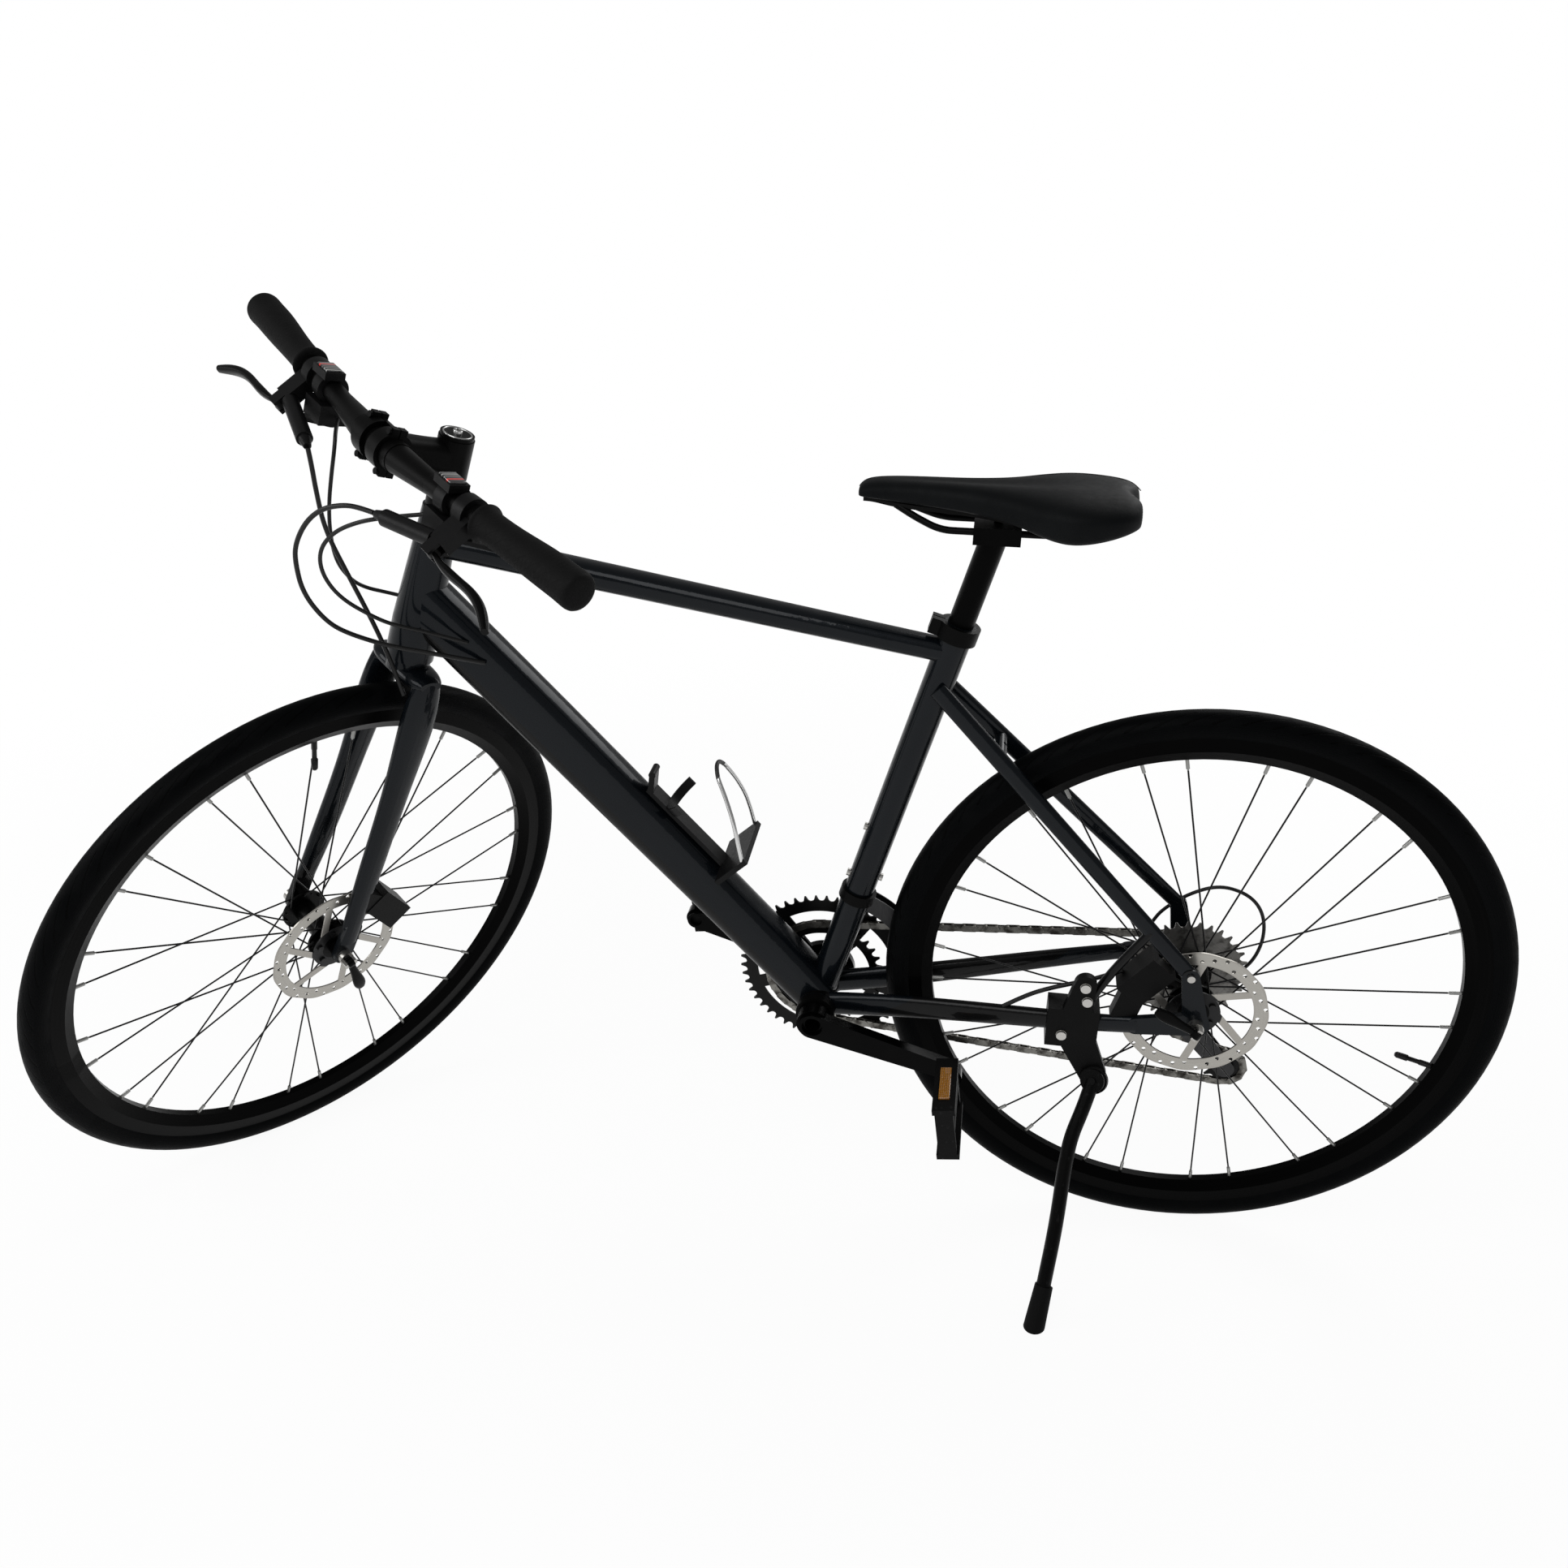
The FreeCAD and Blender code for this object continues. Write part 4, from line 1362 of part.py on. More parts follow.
def saddle():
    """Padded saddle with a thin nose and deep wings, on a plastic base, two rails and the seatpost's head."""
    head = on_seat(S.post_top_up)
    head_x, rail_z = head.x, head.z + S.rail_up
    saddle_top = rail_z + S.saddle_rise
    bottom = saddle_top - S.saddle_skirt
    # shares of the length from the nose and of the half width, fall of the top, rise of the underside, drop of the flanks
    outline_shares = (
        (0, 0.12, 0.44, 0.38, 0), (0.02, 0.2, 0.25, 0.36, 0), (0.1, 0.26, 0.11, 0.3, 0), (0.36, 0.33, 0.08, 0.14, 0.02),
        (0.54, 0.55, 0.07, 0.04, 0.08), (0.66, 0.86, 0.03, 0, 0.28), (0.76, 1, 0, 0, 0.38), (0.88, 0.94, 0.02, 0, 0.26),
        (0.96, 0.76, 0.07, 0.02, 0.06), (1, 0.52, 0.25, 0.08, 0))
    half_width = S.saddle_width / 2
    sections, shell_sections, undersides = [], [], []
    for along, wide, fall, rise, drop in outline_shares:
        x = head_x + S.saddle_ahead - S.saddle_length * along
        half = half_width * wide
        top = saddle_top - S.saddle_skirt * fall
        under = bottom + S.saddle_skirt * rise
        low = under - S.saddle_skirt * drop
        crown = (top - under) * 0.3
        waist = (top - crown + low) / 2
        low_left, low_right = V(x, half * 0.86, low), V(x, -half * 0.86, low)
        inner_left, inner_right = V(x, half * 0.62, under), V(x, -half * 0.62, under)
        high_left, high_right = V(x, half * 0.9, top - crown), V(x, -half * 0.9, top - crown)
        sections.append(Part.Wire([
            Part.LineSegment(low_left, inner_left).toShape(),
            Part.LineSegment(inner_left, inner_right).toShape(),
            Part.LineSegment(inner_right, low_right).toShape(),
            Part.Arc(low_right, V(x, -half, waist), high_right).toShape(),
            Part.Arc(high_right, V(x, 0, top), high_left).toShape(),
            Part.Arc(high_left, V(x, half, waist), low_left).toShape(),
        ]))
        if 0 < along < 1:
            shell_half, shell_low = half * 0.6, under - S.saddle_shell_thick
            corners = [V(x, shell_half, under + 1), V(x, -shell_half, under + 1), V(x, -shell_half, shell_low),
                       V(x, shell_half, shell_low)]
            shell_sections.append(Part.makePolygon(corners + corners[:1]))
            undersides.append((x, shell_low))
    cover_form, shell_form = loft(sections), loft(shell_sections)
    cover = formed(cover_form)
    sub_part("saddle_cover", cover)
    shell = cut(formed(shell_form), cover)
    sub_part("saddle_shell", shell)

    def shell_under(x):
        """Height of the base's underside at a place along the saddle."""
        for (front, front_low), (back, back_low) in zip(undersides, undersides[1:]):
            if back <= x <= front:
                return back_low + (front_low - back_low) * (x - back) / (front - back)

    rails = []
    for side in SIDES:
        rail_points = []
        for ahead, out, up in ((1, 0.45, 1), (0.8, 0.75, 0.55), (0.55, 1, 0), (-0.45, 1, 0), (-0.72, 1.3, 0.3), (-0.95, 1.7, 1)):
            x = head_x + S.rail_front * ahead
            rise = shell_under(x) + S.saddle_shell_thick / 3 - rail_z
            rail_points.append(V(x, side * S.rail_half_gap * out, rail_z + rise * up))
        under_shell = cord(rail_points, S.rail_radius).cut([shell_form, cover_form]).Solids
        rails.append(formed(max(under_shell, key=lambda solid: solid.Volume)))
    rail_group = group(*rails)
    sub_part("saddle_rails", rail_group)

    post = rod(S.seatpost_radius, S.post_top_up - S.post_bottom_up, on_seat(S.post_bottom_up), SEAT)
    bore = rod(S.seatpost_radius - S.tube_wall, S.post_top_up - S.post_bottom_up - S.cradle_height * 3,
               on_seat(S.post_bottom_up), SEAT)
    cradle = block(S.cradle_length, S.cradle_width, S.cradle_height, V(head_x, 0, rail_z - S.cradle_height / 2))
    yoke = block(S.cradle_length, S.cradle_width, S.yoke_height, V(head_x, 0, rail_z + S.yoke_height / 2))
    above = block(S.cradle_width * 2, S.cradle_width, S.cradle_height, V(head_x, 0, rail_z + S.cradle_height / 2))
    lower = cut(fuse(cut(post, bore, above), cradle), rail_group)
    bolt = rod(S.screw_head_radius, S.yoke_height / 3, V(head_x, 0, rail_z + S.yoke_height), UP)
    sub_part("seatpost", group(lower, cut(yoke, rail_group), bolt))


# Kickstand

STAND_PIVOT = V(S.pivot_ahead, S.pivot_half, -S.pivot_drop)
STAND_FOOT = V(S.foot_ahead, S.foot_half, 0)
STAND_FOOT.z = -(GROUND_DEPTH + GROUND.x * STAND_FOOT.x + GROUND.y * STAND_FOOT.y) / GROUND.z
STAND_LEG = unit(STAND_FOOT - STAND_PIVOT)
STAND_FOLDED = unit(V(-0.96, 0.17, 0.20))
STAND_AXIS = unit(STAND_LEG.cross(STAND_FOLDED))


def kickstand(chainstay_piece):
    """Clamp on the left chainstay with a pivot lug, and a bowed leg with a rubber foot cut to the ground."""
    stay_middle = V(S.stand_clamp_ahead, S.stand_clamp_half, -S.stand_clamp_drop)
    clamp = block(S.stand_clamp_length, S.stand_clamp_half_width * 2, S.stand_clamp_height, stay_middle)
    plate_place = S.stand_clamp_half + S.stand_clamp_half_width - S.lug_thickness / 2
    flat_middle = V(stay_middle.x, 0, stay_middle.z)
    horn = formed(arm(flat_middle, V(stay_middle.x - S.lug_thickness, 0, S.stand_horn_up), S.lug_radius * 1.2, S.lug_radius * 0.8,
                      S.lug_thickness, plate_place))
    shank = formed(arm(flat_middle, V(STAND_PIVOT.x, 0, STAND_PIVOT.z), S.lug_radius * 1.4, S.lug_radius,
                       S.lug_thickness, plate_place))
    lug_off = S.leg_eye_thickness / 2 + S.running_gap + S.lug_thickness / 2
    lug = drum(S.lug_radius, S.lug_thickness, STAND_PIVOT - STAND_AXIS * lug_off, STAND_AXIS)
    room = rod(S.lug_radius + S.running_gap * 5, S.overrun * 2,
               STAND_PIVOT - STAND_AXIS * (S.leg_eye_thickness / 2 + S.running_gap), STAND_AXIS)
    pin = rod(S.stand_bolt_radius, lug_off + S.leg_eye_thickness, STAND_PIVOT - STAND_AXIS * lug_off, STAND_AXIS)
    mount = fuse(cut(fuse(clamp, horn, shank, lug), room, chainstay_piece), pin)
    face = plate_place + S.lug_thickness / 2
    screws = []
    for ahead_share, up_share in ((-1, 0.95), (-1.4, 0.5), (1.2, -0.7)):
        spot = V(stay_middle.x + S.lug_thickness * ahead_share, face, S.stand_horn_up * up_share)
        screws.append(rod(S.screw_head_radius * 1.3, S.screw_head_height, spot, LEFT))
    sub_part("kickstand_mount", group(mount, *screws))

    length = (STAND_FOOT - STAND_PIVOT).Length
    bow = unit(AHEAD - STAND_LEG * AHEAD.dot(STAND_LEG)) * S.leg_bow
    leg_shares = ((0, 0), (0.11, 0.35), (0.24, 1), (0.36, 0.9), (0.6, 0.25), (0.9, 0))
    points = [STAND_PIVOT + STAND_LEG * (length * along) + bow * off for along, off in leg_shares]
    rod_piece = formed(cord(points, S.leg_rod_radius))
    eye = drum(S.leg_eye_radius, S.leg_eye_thickness, STAND_PIVOT, STAND_AXIS)
    foot = cone(S.foot_top_radius, S.foot_radius, S.foot_length * 2, STAND_FOOT - STAND_LEG * S.foot_length, STAND_LEG)
    deep = S.ground_depth
    below = block(deep * 3, deep * 3, deep, STAND_FOOT - GROUND * (deep / 2), facing(GROUND))
    half_space = S.leg_eye_thickness / 2
    thin = rod(S.lug_radius * 2, S.overrun * 2, STAND_PIVOT - STAND_AXIS * (half_space + S.overrun * 2), STAND_AXIS)
    leg = cut(fuse(rod_piece, foot), below, thin)
    leg = fuse(leg, eye)
    sub_part("kickstand_leg", cut(leg, drum(S.stand_bolt_radius + S.bearing_gap, S.lug_radius * 4, STAND_PIVOT, STAND_AXIS)))


# Bottle cage

def on_down(along, over, left=0):
    """A point by the down tube, from the crank axis along it and square over it."""
    return DOWN_START + DOWN * along + DOWN_OVER * over + LEFT * left


def bottle_cage(down_tube_piece):
    """Plastic spine with a shelf, a lip and a part band, and the wire loop that holds the bottle."""
    turn = FreeCAD.Rotation(DOWN, LEFT, DOWN_OVER, "XYZ")
    seat = S.down_tube_depth / 2 + S.cage_stand
    bottle = seat + S.cage_spine_thick + S.bottle_radius
    middle = (S.cage_low + S.cage_high) / 2
    spine = block(S.cage_high - S.cage_low, S.cage_spine_width, S.cage_spine_thick, on_down(middle, seat + S.cage_spine_thick / 2), turn)
    shelf = block(S.cage_shelf_thick, S.cage_shelf_half * 2, S.cage_shelf_height,
                  on_down(S.cage_low + S.cage_shelf_thick / 2, seat + S.cage_shelf_height / 2), turn)
    lip_low = on_down(S.cage_high - S.cage_spine_thick, seat + S.cage_spine_thick / 2)
    lip_high = on_down(S.cage_high + S.cage_hook / 2, seat + S.cage_hook)
    lip_along = unit(lip_high - lip_low)
    lip_turn = FreeCAD.Rotation(lip_along, LEFT, lip_along.cross(LEFT), "XYZ")
    lip = block((lip_high - lip_low).Length, S.cage_spine_width, S.cage_spine_thick * 1.3, (lip_low + lip_high) / 2, lip_turn)
    rib = drum(S.cage_rib_radius, S.cage_spine_width, lip_high, LEFT)
    band = ring(S.bottle_radius + S.cage_band_thick, S.bottle_radius, S.cage_band_width, on_down(S.cage_band_up, bottle), DOWN)
    upper = block(S.cage_band_width * 2, S.bottle_radius * 3, S.bottle_radius * 2,
                  on_down(S.cage_band_up, bottle + S.bottle_radius * 0.6), turn)
    posts = [rod(S.cage_rib_radius * 1.5, S.cage_stand * 2,
                 on_down(S.cage_low + (S.cage_high - S.cage_low) * share, seat - S.cage_stand * 1.5), DOWN_OVER)
             for share in (0.2, 0.7)]
    bottle_room = rod(S.bottle_radius, S.cage_high * 2, on_down(S.cage_low + S.cage_shelf_thick, bottle), DOWN)
    body = fuse(spine, shelf, lip, rib, cut(band, upper), *posts)
    cage = cut(body, cut(bottle_room, lip, rib), down_tube_piece)
    sub_part("bottle_cage", cage)
    ring_radius = S.bottle_radius + S.cage_band_thick + S.cage_wire_radius + S.running_gap
    band_top = S.cage_band_up + S.cage_band_width
    wire_shares = ((0, 0), (0.14, 12), (0.36, 32), (0.6, 50), (0.82, 66), (0.9, 82))
    left_side = []
    for up_share, angle in wire_shares:
        turn_angle = math.radians(angle)
        left_side.append(on_down(S.cage_low + S.cage_shelf_thick + (band_top - S.cage_low) * up_share,
                                 bottle + ring_radius * math.sin(turn_angle), ring_radius * math.cos(turn_angle)))
    route = left_side + [V(point.x, -point.y, point.z) for point in reversed(left_side)]
    sub_part("bottle_cage_wire", cut(formed(cord(route, S.cage_wire_radius)), cage))


# Brake calipers

def front_caliper(fork_piece):
    body, slot, pads = caliper(FRONT_AXLE, S.front_rotor_place, S.front_caliper_angle)
    angle = S.front_caliper_angle - S.front_bracket_turn
    spot = FRONT_AXLE + around(S.caliper_out, degrees(angle), S.fork_spacing / 2)
    bracket = block(S.bracket_length, S.bracket_width, S.bracket_depth, spot, FreeCAD.Rotation(LEFT, 90 - angle))
    sub_part("front_brake_caliper", group(cut(fuse(body, bracket), slot, fork_piece), *pads), "steered")


def rear_caliper(chainstay_piece):
    body, slot, pads = caliper(V(0, 0, 0), S.rear_rotor_place, S.rear_caliper_angle)
    angle = S.rear_caliper_angle - S.rear_bracket_turn
    spot = around(S.caliper_out, degrees(angle), AXLE_END - S.bracket_width / 3)
    bracket = block(S.bracket_length, S.bracket_width, S.bracket_depth, spot, FreeCAD.Rotation(LEFT, 90 - angle))
    sub_part("rear_brake_caliper", group(cut(fuse(body, bracket), slot, chainstay_piece), *pads))


# Bolts and cables

def frame_bolts(rear_fixed):
    """Screws in the frame's bosses, the cable stop and the rear axle's fixed pieces."""
    ahead = V(SEAT.z, 0, -SEAT.x)
    seat_outside = rod(S.seat_tube_radius, S.seat_tube_length, CRANK_AXIS, SEAT)
    inside = S.screw_head_radius
    screws = []
    for up in (S.seat_boss_low, S.seat_boss_high):
        foot = on_seat(up) + ahead * (S.seat_tube_radius - inside)
        screws.append(cut(rod(S.screw_head_radius, S.screw_head_height + inside, foot, ahead), seat_outside))
    foot = on_seat(S.cable_stop_up) - ahead * (S.seat_tube_radius - inside)
    screws.append(cut(rod(S.screw_head_radius, S.screw_head_height + inside, foot, -ahead), seat_outside))
    eyelet = V(S.seatstay_end_ahead, AXLE_END + S.dropout_thickness, S.seatstay_end_up)
    for side in SIDES:
        screws.append(rod(S.screw_head_radius, S.screw_head_height, V(eyelet.x, side * eyelet.y, eyelet.z), LEFT * side))
    sub_part("frame_bolts", group(*rear_fixed, *screws))


def route(label, cords, axle, ends=(), moves="bike"):
    """Hoses and housings along their routes, with the length and least bend of each."""
    tubes = []
    for radius, places, last_places in cords:
        points = [axle + V(*place) for place in places]
        points += [on_down(DOWN_LENGTH - back, over, left) for back, over, left in last_places]
        tube, length, bend = cord(points, radius, True)
        full = tube.Volume / (math.pi * radius ** 2)
        print(label, "length", round(length), "by volume", round(full), "least bend in diameters", round(bend / (2 * radius), 1))
        tubes.append(cut(formed(tube), *ends))
    sub_part(label, group(*tubes), moves)


# Routes are written on the steered, upright bike, in front from the front axle and behind from the rear one.
# Those that go into the down tube end at points taken from its head end.
STEERING_ROUTES = [
    (S.hose_radius, [
        (-210.5, 136.2, 547.8), (-196, 131, 550), (-178, 127, 551), (-151, 120, 544), (-128, 113, 527),
        (-110, 106, 502), (-103, 100, 481), (-100, 90, 444), (-113, 79, 411), (-130, 70, 394),
        (-171, 55, 375)],
     [(53.2, -13.1, 41), (94.7, 11.1, 24.8)]),
    (S.housing_radius, [
        (-267, 121.4, 545.6), (-246, 125, 544), (-218, 128, 541), (-188, 124, 534), (-156, 114, 519),
        (-133, 105, 496), (-126, 94, 467), (-135, 81, 437), (-160, 65, 412), (-177, 55, 400)],
     [(32.9, -1.1, 39), (67.1, 13.6, 24.6)]),
    (S.housing_radius, [
        (-117, -8, 596), (-122, 10, 592), (-125, 24, 577), (-120, 30, 550), (-111, 27, 519),
        (-103, 19, 487), (-98, 7, 451), (-103, -4, 428), (-113, -16, 412), (-136, -29, 402),
        (-164, -35, 394)],
     [(26.3, -12.6, -32), (57.5, 4.8, -25)]),
]
FRONT_HOSE = [
    (S.hose_radius, [
        (-108.6, 48.4, 581.4), (-109.8, 48.5, 564), (-108.5, 45.5, 540), (-109, 41, 495), (-126, 38, 445),
        (-145, 37, 395), (-160, 38, 350), (-170, 40, 312)],
     []),
]
REAR_ROUTES = [
    (S.housing_radius, [
        (46, -77.5, 12), (38, -80, 29), (28, -82, 46), (2, -82, 70), (-30, -82, 85), (-60, -82, 78),
        (-79, -82, 62), (-89, -82, 38), (-90, -81, 10), (-82, -79, -16), (-66, -78, -34),
        (-49.5, -77.5, -43.3)],
     []),
    (S.hose_radius, [
        (206, 49, -18), (182, 47.5, -1), (158, 47, 11), (132, 47, 21), (106, 48, 32), (81, 50, 47)],
     []),
]


# The whole bike

head_tube()
down_tube_piece = main_tubes()
chainstay_piece = stays()
front_derailleur()
saddle()
bottle_cage(down_tube_piece)
kickstand(chainstay_piece)
fork_piece = fork()
stem()
handlebar()
grips()
control_bodies()
for side in SIDES:
    brake_lever(side)
    for release in (False, True):
        shift_lever(side, release)
fork_out = S.fork_spacing / 2 + S.fork_end_thickness
front_fixed, front_lever, FRONT_QR_PIN, FRONT_QR_AXIS = quick_release(FRONT_AXLE, fork_out, S.front_qr_angle, fork_out)
stay_out = AXLE_END + S.dropout_thickness
rear_fixed, rear_lever, REAR_QR_PIN, REAR_QR_AXIS = quick_release(V(0, 0, 0), stay_out, S.rear_qr_angle, stay_out)
sub_part("front_qr_lever", front_lever, "steered")
sub_part("rear_qr_lever", rear_lever)
sub_part("front_axle_set", group(*front_fixed), "steered")
frame_bolts(rear_fixed)
hub_gap = S.running_gap
wheel("front", "steered", FRONT_AXLE, S.fork_spacing / 2 - hub_gap, S.front_rotor_place, S.front_left_flange,
      S.front_right_flange, False)
wheel("rear", "bike", V(0, 0, 0), AXLE_END - hub_gap, S.rear_rotor_place, S.rear_left_flange, S.rear_right_flange, True)
front_caliper(fork_piece)
rear_caliper(chainstay_piece)
cassette()
chain()
chainrings()
cranks()
for side, label in ((1, "left_pedal"), (-1, "right_pedal")):
    sub_part(label, pedal(side))
rear_derailleur(chainstay_piece)
route("steering_cables", STEERING_ROUTES, FRONT_AXLE, [down_tube_piece])
route("front_brake_hose", FRONT_HOSE, FRONT_AXLE)
route("rear_cables", REAR_ROUTES, V(0, 0, 0), [chainstay_piece])
doc.recompute()

failed = [f"{item.Name} ({item.Label}): {item.State}" for item in doc.Objects
          if "Invalid" in item.State or "Error" in item.State]
failed += [f"{label} has no valid shape" for label, (placed, moves, at) in PARTS.items()
           if placed.Shape.isNull() or not placed.Shape.isValid() or not placed.Shape.Solids]
if failed:
    raise RuntimeError(failed)


# Standing on the ground

BIKE = FreeCAD.Placement(V(0, 0, 0), FreeCAD.Rotation(GROUND, UP))
GROUPS = {"bike": BIKE, "steered": BIKE * STEERING, "bar": BIKE * STEERING * BAR_SKEW}
for placed, moves, at in PARTS.values():
    placed.Placement = GROUPS[moves] * FreeCAD.Placement(at, FreeCAD.Rotation())
doc.recompute()
box = FreeCAD.BoundBox()
for placed, moves, at in PARTS.values():
    box.add(placed.Shape.optimalBoundingBox(True, False))
REST = FreeCAD.Placement(V(-box.Center.x, -box.Center.y, -box.ZMin), FreeCAD.Rotation()) * BIKE
for placed, moves, at in PARTS.values():
    placed.Placement = REST * BIKE.inverse() * placed.Placement
doc.recompute()

os.makedirs("parts", exist_ok=True)
for label, (placed, moves, at) in PARTS.items():
    Part.Compound(placed.Shape.Solids).exportStep(f"parts/{label}.step")
print("sub-parts", len(PARTS), "size", [round(side, 1) for side in (box.XLength, box.YLength, box.ZLength)])
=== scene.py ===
import math
import bmesh
import bpy
from mathutils import Matrix, Vector


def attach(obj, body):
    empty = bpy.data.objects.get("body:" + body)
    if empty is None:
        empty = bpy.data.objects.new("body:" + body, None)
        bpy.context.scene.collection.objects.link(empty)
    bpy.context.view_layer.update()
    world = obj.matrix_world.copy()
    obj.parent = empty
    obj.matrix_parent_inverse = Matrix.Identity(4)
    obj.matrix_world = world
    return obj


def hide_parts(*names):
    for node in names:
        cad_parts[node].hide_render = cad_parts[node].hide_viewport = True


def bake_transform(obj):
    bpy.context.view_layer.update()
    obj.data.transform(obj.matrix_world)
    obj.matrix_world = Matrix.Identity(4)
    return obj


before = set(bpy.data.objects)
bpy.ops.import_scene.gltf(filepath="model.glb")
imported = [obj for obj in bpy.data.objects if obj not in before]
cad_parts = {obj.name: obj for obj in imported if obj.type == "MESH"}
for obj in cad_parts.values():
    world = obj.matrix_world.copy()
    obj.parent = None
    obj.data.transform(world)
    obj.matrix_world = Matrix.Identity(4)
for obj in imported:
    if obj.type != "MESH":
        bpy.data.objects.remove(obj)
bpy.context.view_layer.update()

# The studio: a pale floor that runs out to white, a wide soft lamp over the camera, a second one from the front of the
# bike and a third behind it. The camera stands at the bike's left, a little above the saddle.
scene = bpy.context.scene
scene.view_settings.view_transform = "Standard"
FLOOR_RADIUS = 30
FLOOR_WHITE = {"near": 0.94, "far": 1.0, "starts": 0.7, "ends": 2.6}
SKY_SEEN, SKY_LIGHT = 0.7, 0.3


class Signal:
    """One output of a material's nodes. Sums and products of signals add the Math nodes that they need."""

    def __init__(self, tree, socket=None):
        self.tree, self.socket = tree, socket

    def node(self, kind, settings, values, out=0):
        made = self.tree.nodes.new("ShaderNode" + kind)
        for name, setting in settings.items():
            setattr(made, name, setting)
        for name, value in values.items():
            if isinstance(value, Signal):
                self.tree.links.new(value.socket, made.inputs[name])
            else:
                made.inputs[name].default_value = value
        return Signal(self.tree, made.outputs[out])

    def maths(self, operation, *others):
        return self.node("Math", {"operation": operation}, dict(enumerate((self, *others))))

    def __add__(self, other):
        return self.maths("ADD", other)

    def __sub__(self, other):
        return self.maths("SUBTRACT", other)

    def __rsub__(self, other):
        return self.node("Math", {"operation": "SUBTRACT"}, {0: other, 1: self})

    def __mul__(self, other):
        return self.maths("MULTIPLY", other)


def finish(name):
    """A new material and the signal of its object coordinates."""
    made = bpy.data.materials.new(name)
    made.use_nodes = True
    return made, Signal(made.node_tree).node("TexCoord", {}, {}, "Object")


def surface(spot, values):
    """Sets or links the sockets of the material's shader."""
    shader = spot.tree.nodes["Principled BSDF"]
    for name, value in values.items():
        if isinstance(value, Signal):
            spot.tree.links.new(value.socket, shader.inputs[name])
        else:
            shader.inputs[name].default_value = value


def rays(spot, kind):
    """1 for rays of one kind, and 0 for others."""
    return spot.node("LightPath", {}, {}, f"Is {kind} Ray")


def formed(name, mesh, made, smooth=True):
    """An object at the origin from a finished mesh, in one material."""
    data = bpy.data.meshes.new(name)
    mesh.to_mesh(data)
    data.polygons.foreach_set("use_smooth", [smooth] * len(data.polygons))
    data.materials.append(made)
    piece = bpy.data.objects.new(name, data)
    scene.collection.objects.link(piece)
    return piece


floor_paint, floor_spot = finish("pale_floor")
surface(floor_spot, {"Base Color": (0.95, 0.95, 0.95, 1), "Roughness": 0.9})
glow = floor_spot.node("Emission", {}, {"Color": (1, 1, 1, 1), "Strength": 1.0})
plain = Signal(floor_spot.tree, floor_spot.tree.nodes["Principled BSDF"].outputs[0])
away = floor_spot.node("VectorMath", {"operation": "LENGTH"}, {0: floor_spot}, "Value")
whiteness = away.node("MapRange", {"interpolation_type": "SMOOTHSTEP"}, {
    0: away, 1: FLOOR_WHITE["starts"], 2: FLOOR_WHITE["ends"], 3: FLOOR_WHITE["near"], 4: FLOOR_WHITE["far"]})
viewed = rays(floor_spot, "Camera") + rays(floor_spot, "Glossy") + rays(floor_spot, "Transmission")
both = floor_spot.node("MixShader", {}, {0: viewed * whiteness, 1: plain, 2: glow})
floor_spot.tree.links.new(both.socket, floor_spot.tree.nodes["Material Output"].inputs["Surface"])
floor_mesh = bmesh.new()
bmesh.ops.create_circle(floor_mesh, cap_ends=True, segments=64, radius=FLOOR_RADIUS)
floor = formed("floor", floor_mesh, floor_paint, smooth=False)

world = bpy.data.worlds.new("studio_white")
world.use_nodes = True
scene.world = world
sky = Signal(world.node_tree)
sky_strength = (rays(sky, "Camera") + rays(sky, "Transmission")) * SKY_SEEN + SKY_LIGHT
sky_shader = world.node_tree.nodes["Background"]
sky_shader.inputs["Color"].default_value = (1, 1, 1, 1)
world.node_tree.links.new(sky_strength.socket, sky_shader.inputs["Strength"])

for lamp_name, place, aim, wide, power in (
    ("key_lamp", (0.7, 2.1, 2.5), (0.05, 0, 0.5), 1.9, 36),
    ("front_lamp", (2.6, 0.9, 1.7), (0.3, 0, 0.5), 1.3, 20),
    ("back_lamp", (-1.4, -1.9, 2.3), (0, 0, 0.5), 1.6, 28),
):
    lamp_data = bpy.data.lights.new(lamp_name, "AREA")
    lamp_data.size, lamp_data.energy = wide, power
    lamp = bpy.data.objects.new(lamp_name, lamp_data)
    lamp.location = place
    lamp.rotation_euler = (Vector(aim) - Vector(place)).to_track_quat("-Z", "Y").to_euler()
    scene.collection.objects.link(lamp)

camera_data = bpy.data.cameras.new("photo_camera")
camera_data.lens, camera_data.sensor_width = 32.04, 36
camera_data.clip_start = 0.05
camera = bpy.data.objects.new("photo_camera", camera_data)
turned = Matrix(((-0.98793, 0.08173, -0.13126), (-0.15199, -0.36039, 0.92069), (0.02779, 0.92952, 0.36808)))
camera.matrix_world = Matrix.Translation((-0.18797, 1.40453, 1.12093)) @ turned.to_4x4()
scene.collection.objects.link(camera)
scene.camera = camera

# The frame: welded aluminium tubes with smoothed joints, painted a deep grey with fine flakes under a clear coat.
# Slanted black fields lie on the down tube's belly, behind the head tube and along the chainstays.
# UPRIGHT places the upright bike's own coordinates, which start at the rear axle.
UPRIGHT = Matrix(((0.999992, -0.000251, 0.004107, -0.451567), (-0.000251, 0.992546, 0.121869, -0.037399),
                  (-0.004107, -0.121869, 0.992538, 0.340563), (0, 0, 0, 1)))
AHEAD, LEFT, UP = Vector((1, 0, 0)), Vector((0, 1, 0)), Vector((0, 0, 1))
DOWN_WAY, DOWN_OVER = Vector((0.680877, 0, 0.732397)), Vector((-0.732397, 0, 0.680877))
DOWN_START, DOWN_DROP = 0.242025, 0.348457
TOP_OVER = Vector((0.21, 0, 0.978))
BELLY_LOW, BELLY_HIGH, BELLY_SLANT = -0.008, -0.0065, 0.012
